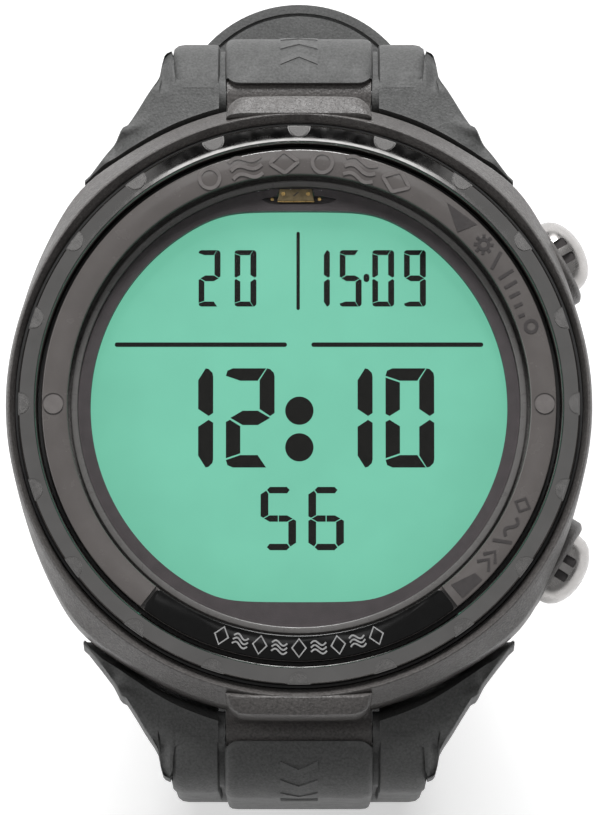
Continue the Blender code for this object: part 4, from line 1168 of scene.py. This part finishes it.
def make_buckle():
    """Buckle frame with ears on its pin, and the prong that rests in a notch of the frame."""
    low = -11.8
    outer = [(-13.5, 0.6), (-13.5, low), (13.5, low), (13.5, 0.6)]
    inner = [(11.7, 0.6), (11.7, low + 2.2), (-11.7, low + 2.2), (-11.7, 0.6)]
    outline = soften(outer, 2.2, False, 8) + soften(inner, 1.6, False, 6)
    frame_bm = grid_mesh([[(x, d, z) for x, z in outline] for d in (-1.1, 1.1)])
    buckle = mesh_object("buckle_loop", bevel(frame_bm, 0.35, 3, 50), BUCKLE_PLACE)
    for side in (1, -1):
        ear = [(0.0, 13.4), (1.5, 13.4), (1.75, 13.15), (1.75, 12.05), (1.5, 11.8), (0.0, 11.8)]
        turn = Matrix.Rotation(side * pi / 2, 4, "Y")
        join(buckle, revolve(ear, 40, False), BUCKLE_PLACE @ turn)
        cut(buckle, rod(0.78, (side * 10, 0, 0), (side * 13.0, 0, 0), 24), BUCKLE_PLACE)
    cut(buckle, rod(0.55, (0, 1.55, low + 3.0), (0, 1.55, low - 1.0), 24), BUCKLE_PLACE)
    piece(buckle, "buckle", "brushed_steel", ["buckle_frame"])
    pin = soften([(0.5, 12.7), (0.7, 12.5), (0.7, -12.5), (0.5, -12.7)], 0.1)
    pin_bm = revolve([(0.0, 12.7)] + pin + [(0.0, -12.7)], 32, False)
    pin_place = BUCKLE_PLACE @ Matrix.Rotation(pi / 2, 4, "Y")
    piece(mesh_object("buckle_bar", pin_bm, pin_place), "buckle", "polished_steel", ["buckle_pin"])
    side_view = [(-0.7, -0.8), (1.35, -9.0), (1.4, low + 0.1), (2.0, low + 0.1)]
    side_view += [(2.45, -9.6), (2.5, -8.6), (1.5, -0.5)]
    tongue = grid_mesh([[(x, y, z) for y, z in soften(side_view, 0.8, True)] for x in (-1.15, 1.15)])
    prong = mesh_object("prong_tongue", bevel(tongue, 0.3, 3, 50), BUCKLE_PLACE)
    join(prong, bevel(rod(1.7, (-1.2, 0, 0), (1.2, 0, 0), 40), 0.2, 2, 60), BUCKLE_PLACE)
    cut(prong, rod(0.8, (-2, 0, 0), (2, 0, 0), 24), BUCKLE_PLACE)
    piece(prong, "prong", "brushed_steel", ["buckle_prong"])


def make_keeper(path):
    """Rubber loop with a softly bulged outside and a fine groove along its middle."""
    y, z, heading, _ = path[-1]
    y -= KEEPER_FROM_END * cos(radians(heading))
    z += KEEPER_FROM_END * sin(radians(heading))
    lean = Matrix.Rotation(-radians(heading), 4, "X")
    spot = UPPER_SPOT @ Matrix.Translation((0.0, y, z)) @ lean
    loops = []
    corners = [(11.4, -1.7), (11.4, 4.6), (-11.4, 4.6), (-11.4, -1.7)]
    section = soften([(0.0, -2.45), (0.85, -2.45), (1.1, -1.2), (1.0, -0.25), (0.8, 0.0)], 0.25)
    section += [(o, -a) for o, a in reversed(section[:-1])]
    for out, along in section:
        grown = [(x + (out if x > 0 else -out), v + (out if v > 0 else -out)) for x, v in corners]
        loops.append([(x, along, v) for x, v in soften(grown, 0.9 + 0.5 * out, True, 5)])
    keeper_bm = grid_mesh(loops, closed_rows=True)
    keeper = mesh_object("keeper_loop", keeper_bm, spot)
    piece(keeper, "keeper", "strap_rubber", ["strap_keeper"], 45)


def make_lug_pins():
    for name, spot in (("upper", UPPER_SPOT), ("lower", LOWER_SPOT)):
        half = [(0.0, 10.4), (0.45, 10.4), (0.5, 9.7), (0.8, 9.6)]
        shape = half + [(x, -z) for x, z in reversed(half)]
        across = spot @ Matrix.Rotation(pi / 2, 4, "Y")
        pin = mesh_object("spring_bar_" + name, revolve(shape, 24, False), across)
        piece(pin, "case", "dark_steel", ["lug_pin_" + name])


# ---- kept nodes


def paint_kept_nodes():
    """CAD nodes whose shape is right keep it and get a finished material."""
    finishes = {
        "seal_rubber": ["rear_gasket", "select_oring", "escape_oring"],
        "polished_steel": ["battery_cell", "quartz_crystal", "pressure_sensor"]
        + ["select_spring", "escape_spring"],
        "dark_steel": ["switch_select", "switch_escape", "select_clip", "escape_clip"],
        "gold_plate": ["contact_centre", "contact_side", "buzzer_disc", "select_bushing", "escape_bushing"],
        "board_green": ["circuit_board"],
        "chip_black": ["processor_chip", "memory_chip"],
        "white_plastic": ["module_frame", "backlight_panel"],
        "mask_black": ["connector_upper", "connector_lower"],
    }
    for finish, names in finishes.items():
        for name in names:
            node = frame["nodes"][name]
            node.data.materials.clear()
            node.data.materials.append(MATERIALS[finish])


# ---- stage


def make_stage():
    """Pale floor, soft light from 12 o'clock and above, and the camera."""
    bm = bmesh.new()
    bmesh.ops.create_grid(bm, x_segments=1, y_segments=1, size=1500.0)
    floor = mesh_object("floor", bm, Matrix.Identity(4))
    floor.location.z = -0.0001
    floor.data.materials.append(MATERIALS["floor_white"])
    make_sky()
    add_light("key", (0.0, 1.38, 1.22), (0.0, 0.0, 0.05), 0.7, KEY_POWER)
    add_light("side", (-0.6, 0.1, 0.5), (0.0, 0.0, 0.05), 0.5, SIDE_POWER)
    camera_data = bpy.data.cameras.new("camera")
    camera = link_object(bpy.data.objects.new("camera", camera_data))
    bpy.context.scene.camera = camera
    tilt = radians(CAMERA_TILT)
    away = Vector((0.0, -sin(tilt), cos(tilt)))
    aim = Vector((0.085, -0.3, BACK_Z + LABEL_TOP)) * MM
    camera.location = aim + away * CAMERA_DISTANCE
    camera.rotation_euler = (tilt, 0.0, 0.0)
    camera_data.sensor_fit = "VERTICAL"
    camera_data.sensor_height = 36.0
    camera_data.lens = 36.0 * CAMERA_DISTANCE / VIEW_HEIGHT
    camera_data.clip_start = 0.05


def make_sky():
    """Even grey studio, with a bright strip and a black card that the trim ring reflects."""
    world = bpy.data.worlds.new("studio")
    bpy.context.scene.world = world
    world.use_nodes = True
    tree = world.node_tree
    back = tree.nodes["Background"]
    split = tree.nodes.new("ShaderNodeSeparateXYZ")
    tree.links.new(tree.nodes.new("ShaderNodeTexCoord").outputs["Generated"], split.inputs[0])

    def math(operation, first, second):
        node = tree.nodes.new("ShaderNodeMath")
        node.operation = operation
        for i, value in enumerate((first, second)):
            if isinstance(value, (int, float)):
                node.inputs[i].default_value = value
            else:
                tree.links.new(value, node.inputs[i])
        return node.outputs[0]

    def window(low, high):
        above = math("GREATER_THAN", split.outputs[1], low)
        below = math("LESS_THAN", split.outputs[1], high)
        reach = math("MULTIPLY", math("SUBTRACT", split.outputs[1], 0.105), 0.6)
        wide = math("LESS_THAN", math("ABSOLUTE", split.outputs[0], 0.0), reach)
        return math("MULTIPLY", math("MULTIPLY", above, below), wide)

    strip = math("MULTIPLY", window(0.15, 0.30), SKY_STRIP)
    card = math("MULTIPLY", window(0.30, 0.70), -SKY_GREY * 0.97)
    high = math("ADD", math("MULTIPLY", math("GREATER_THAN", split.outputs[2], 0.25), 0.65), 0.35)
    grey = math("MULTIPLY", math("ADD", math("ADD", strip, card), SKY_GREY), high)
    tree.links.new(grey, back.inputs["Strength"])
    back.inputs["Color"].default_value = (1.0, 1.0, 1.0, 1.0)


def add_light(name, place, target, size, power):
    data = bpy.data.lights.new(name, "AREA")
    data.shape = "DISK"
    data.size = size
    data.energy = power
    lamp = link_object(bpy.data.objects.new(name, data))
    lamp.location = place
    lamp.rotation_euler = (Vector(target) - Vector(place)).to_track_quat("-Z", "Y").to_euler()


make_case()
make_cover()
make_screws()
make_hatch()
make_display()
make_lens()
make_label()
make_nameplate()
make_trim()
for button_name in BUTTONS:
    make_button(button_name)
short_path = make_short_half()
make_long_half()
make_buckle()
make_keeper(short_path)
make_lug_pins()
paint_kept_nodes()
make_stage()

bpy.context.scene.view_settings.view_transform = "Standard"
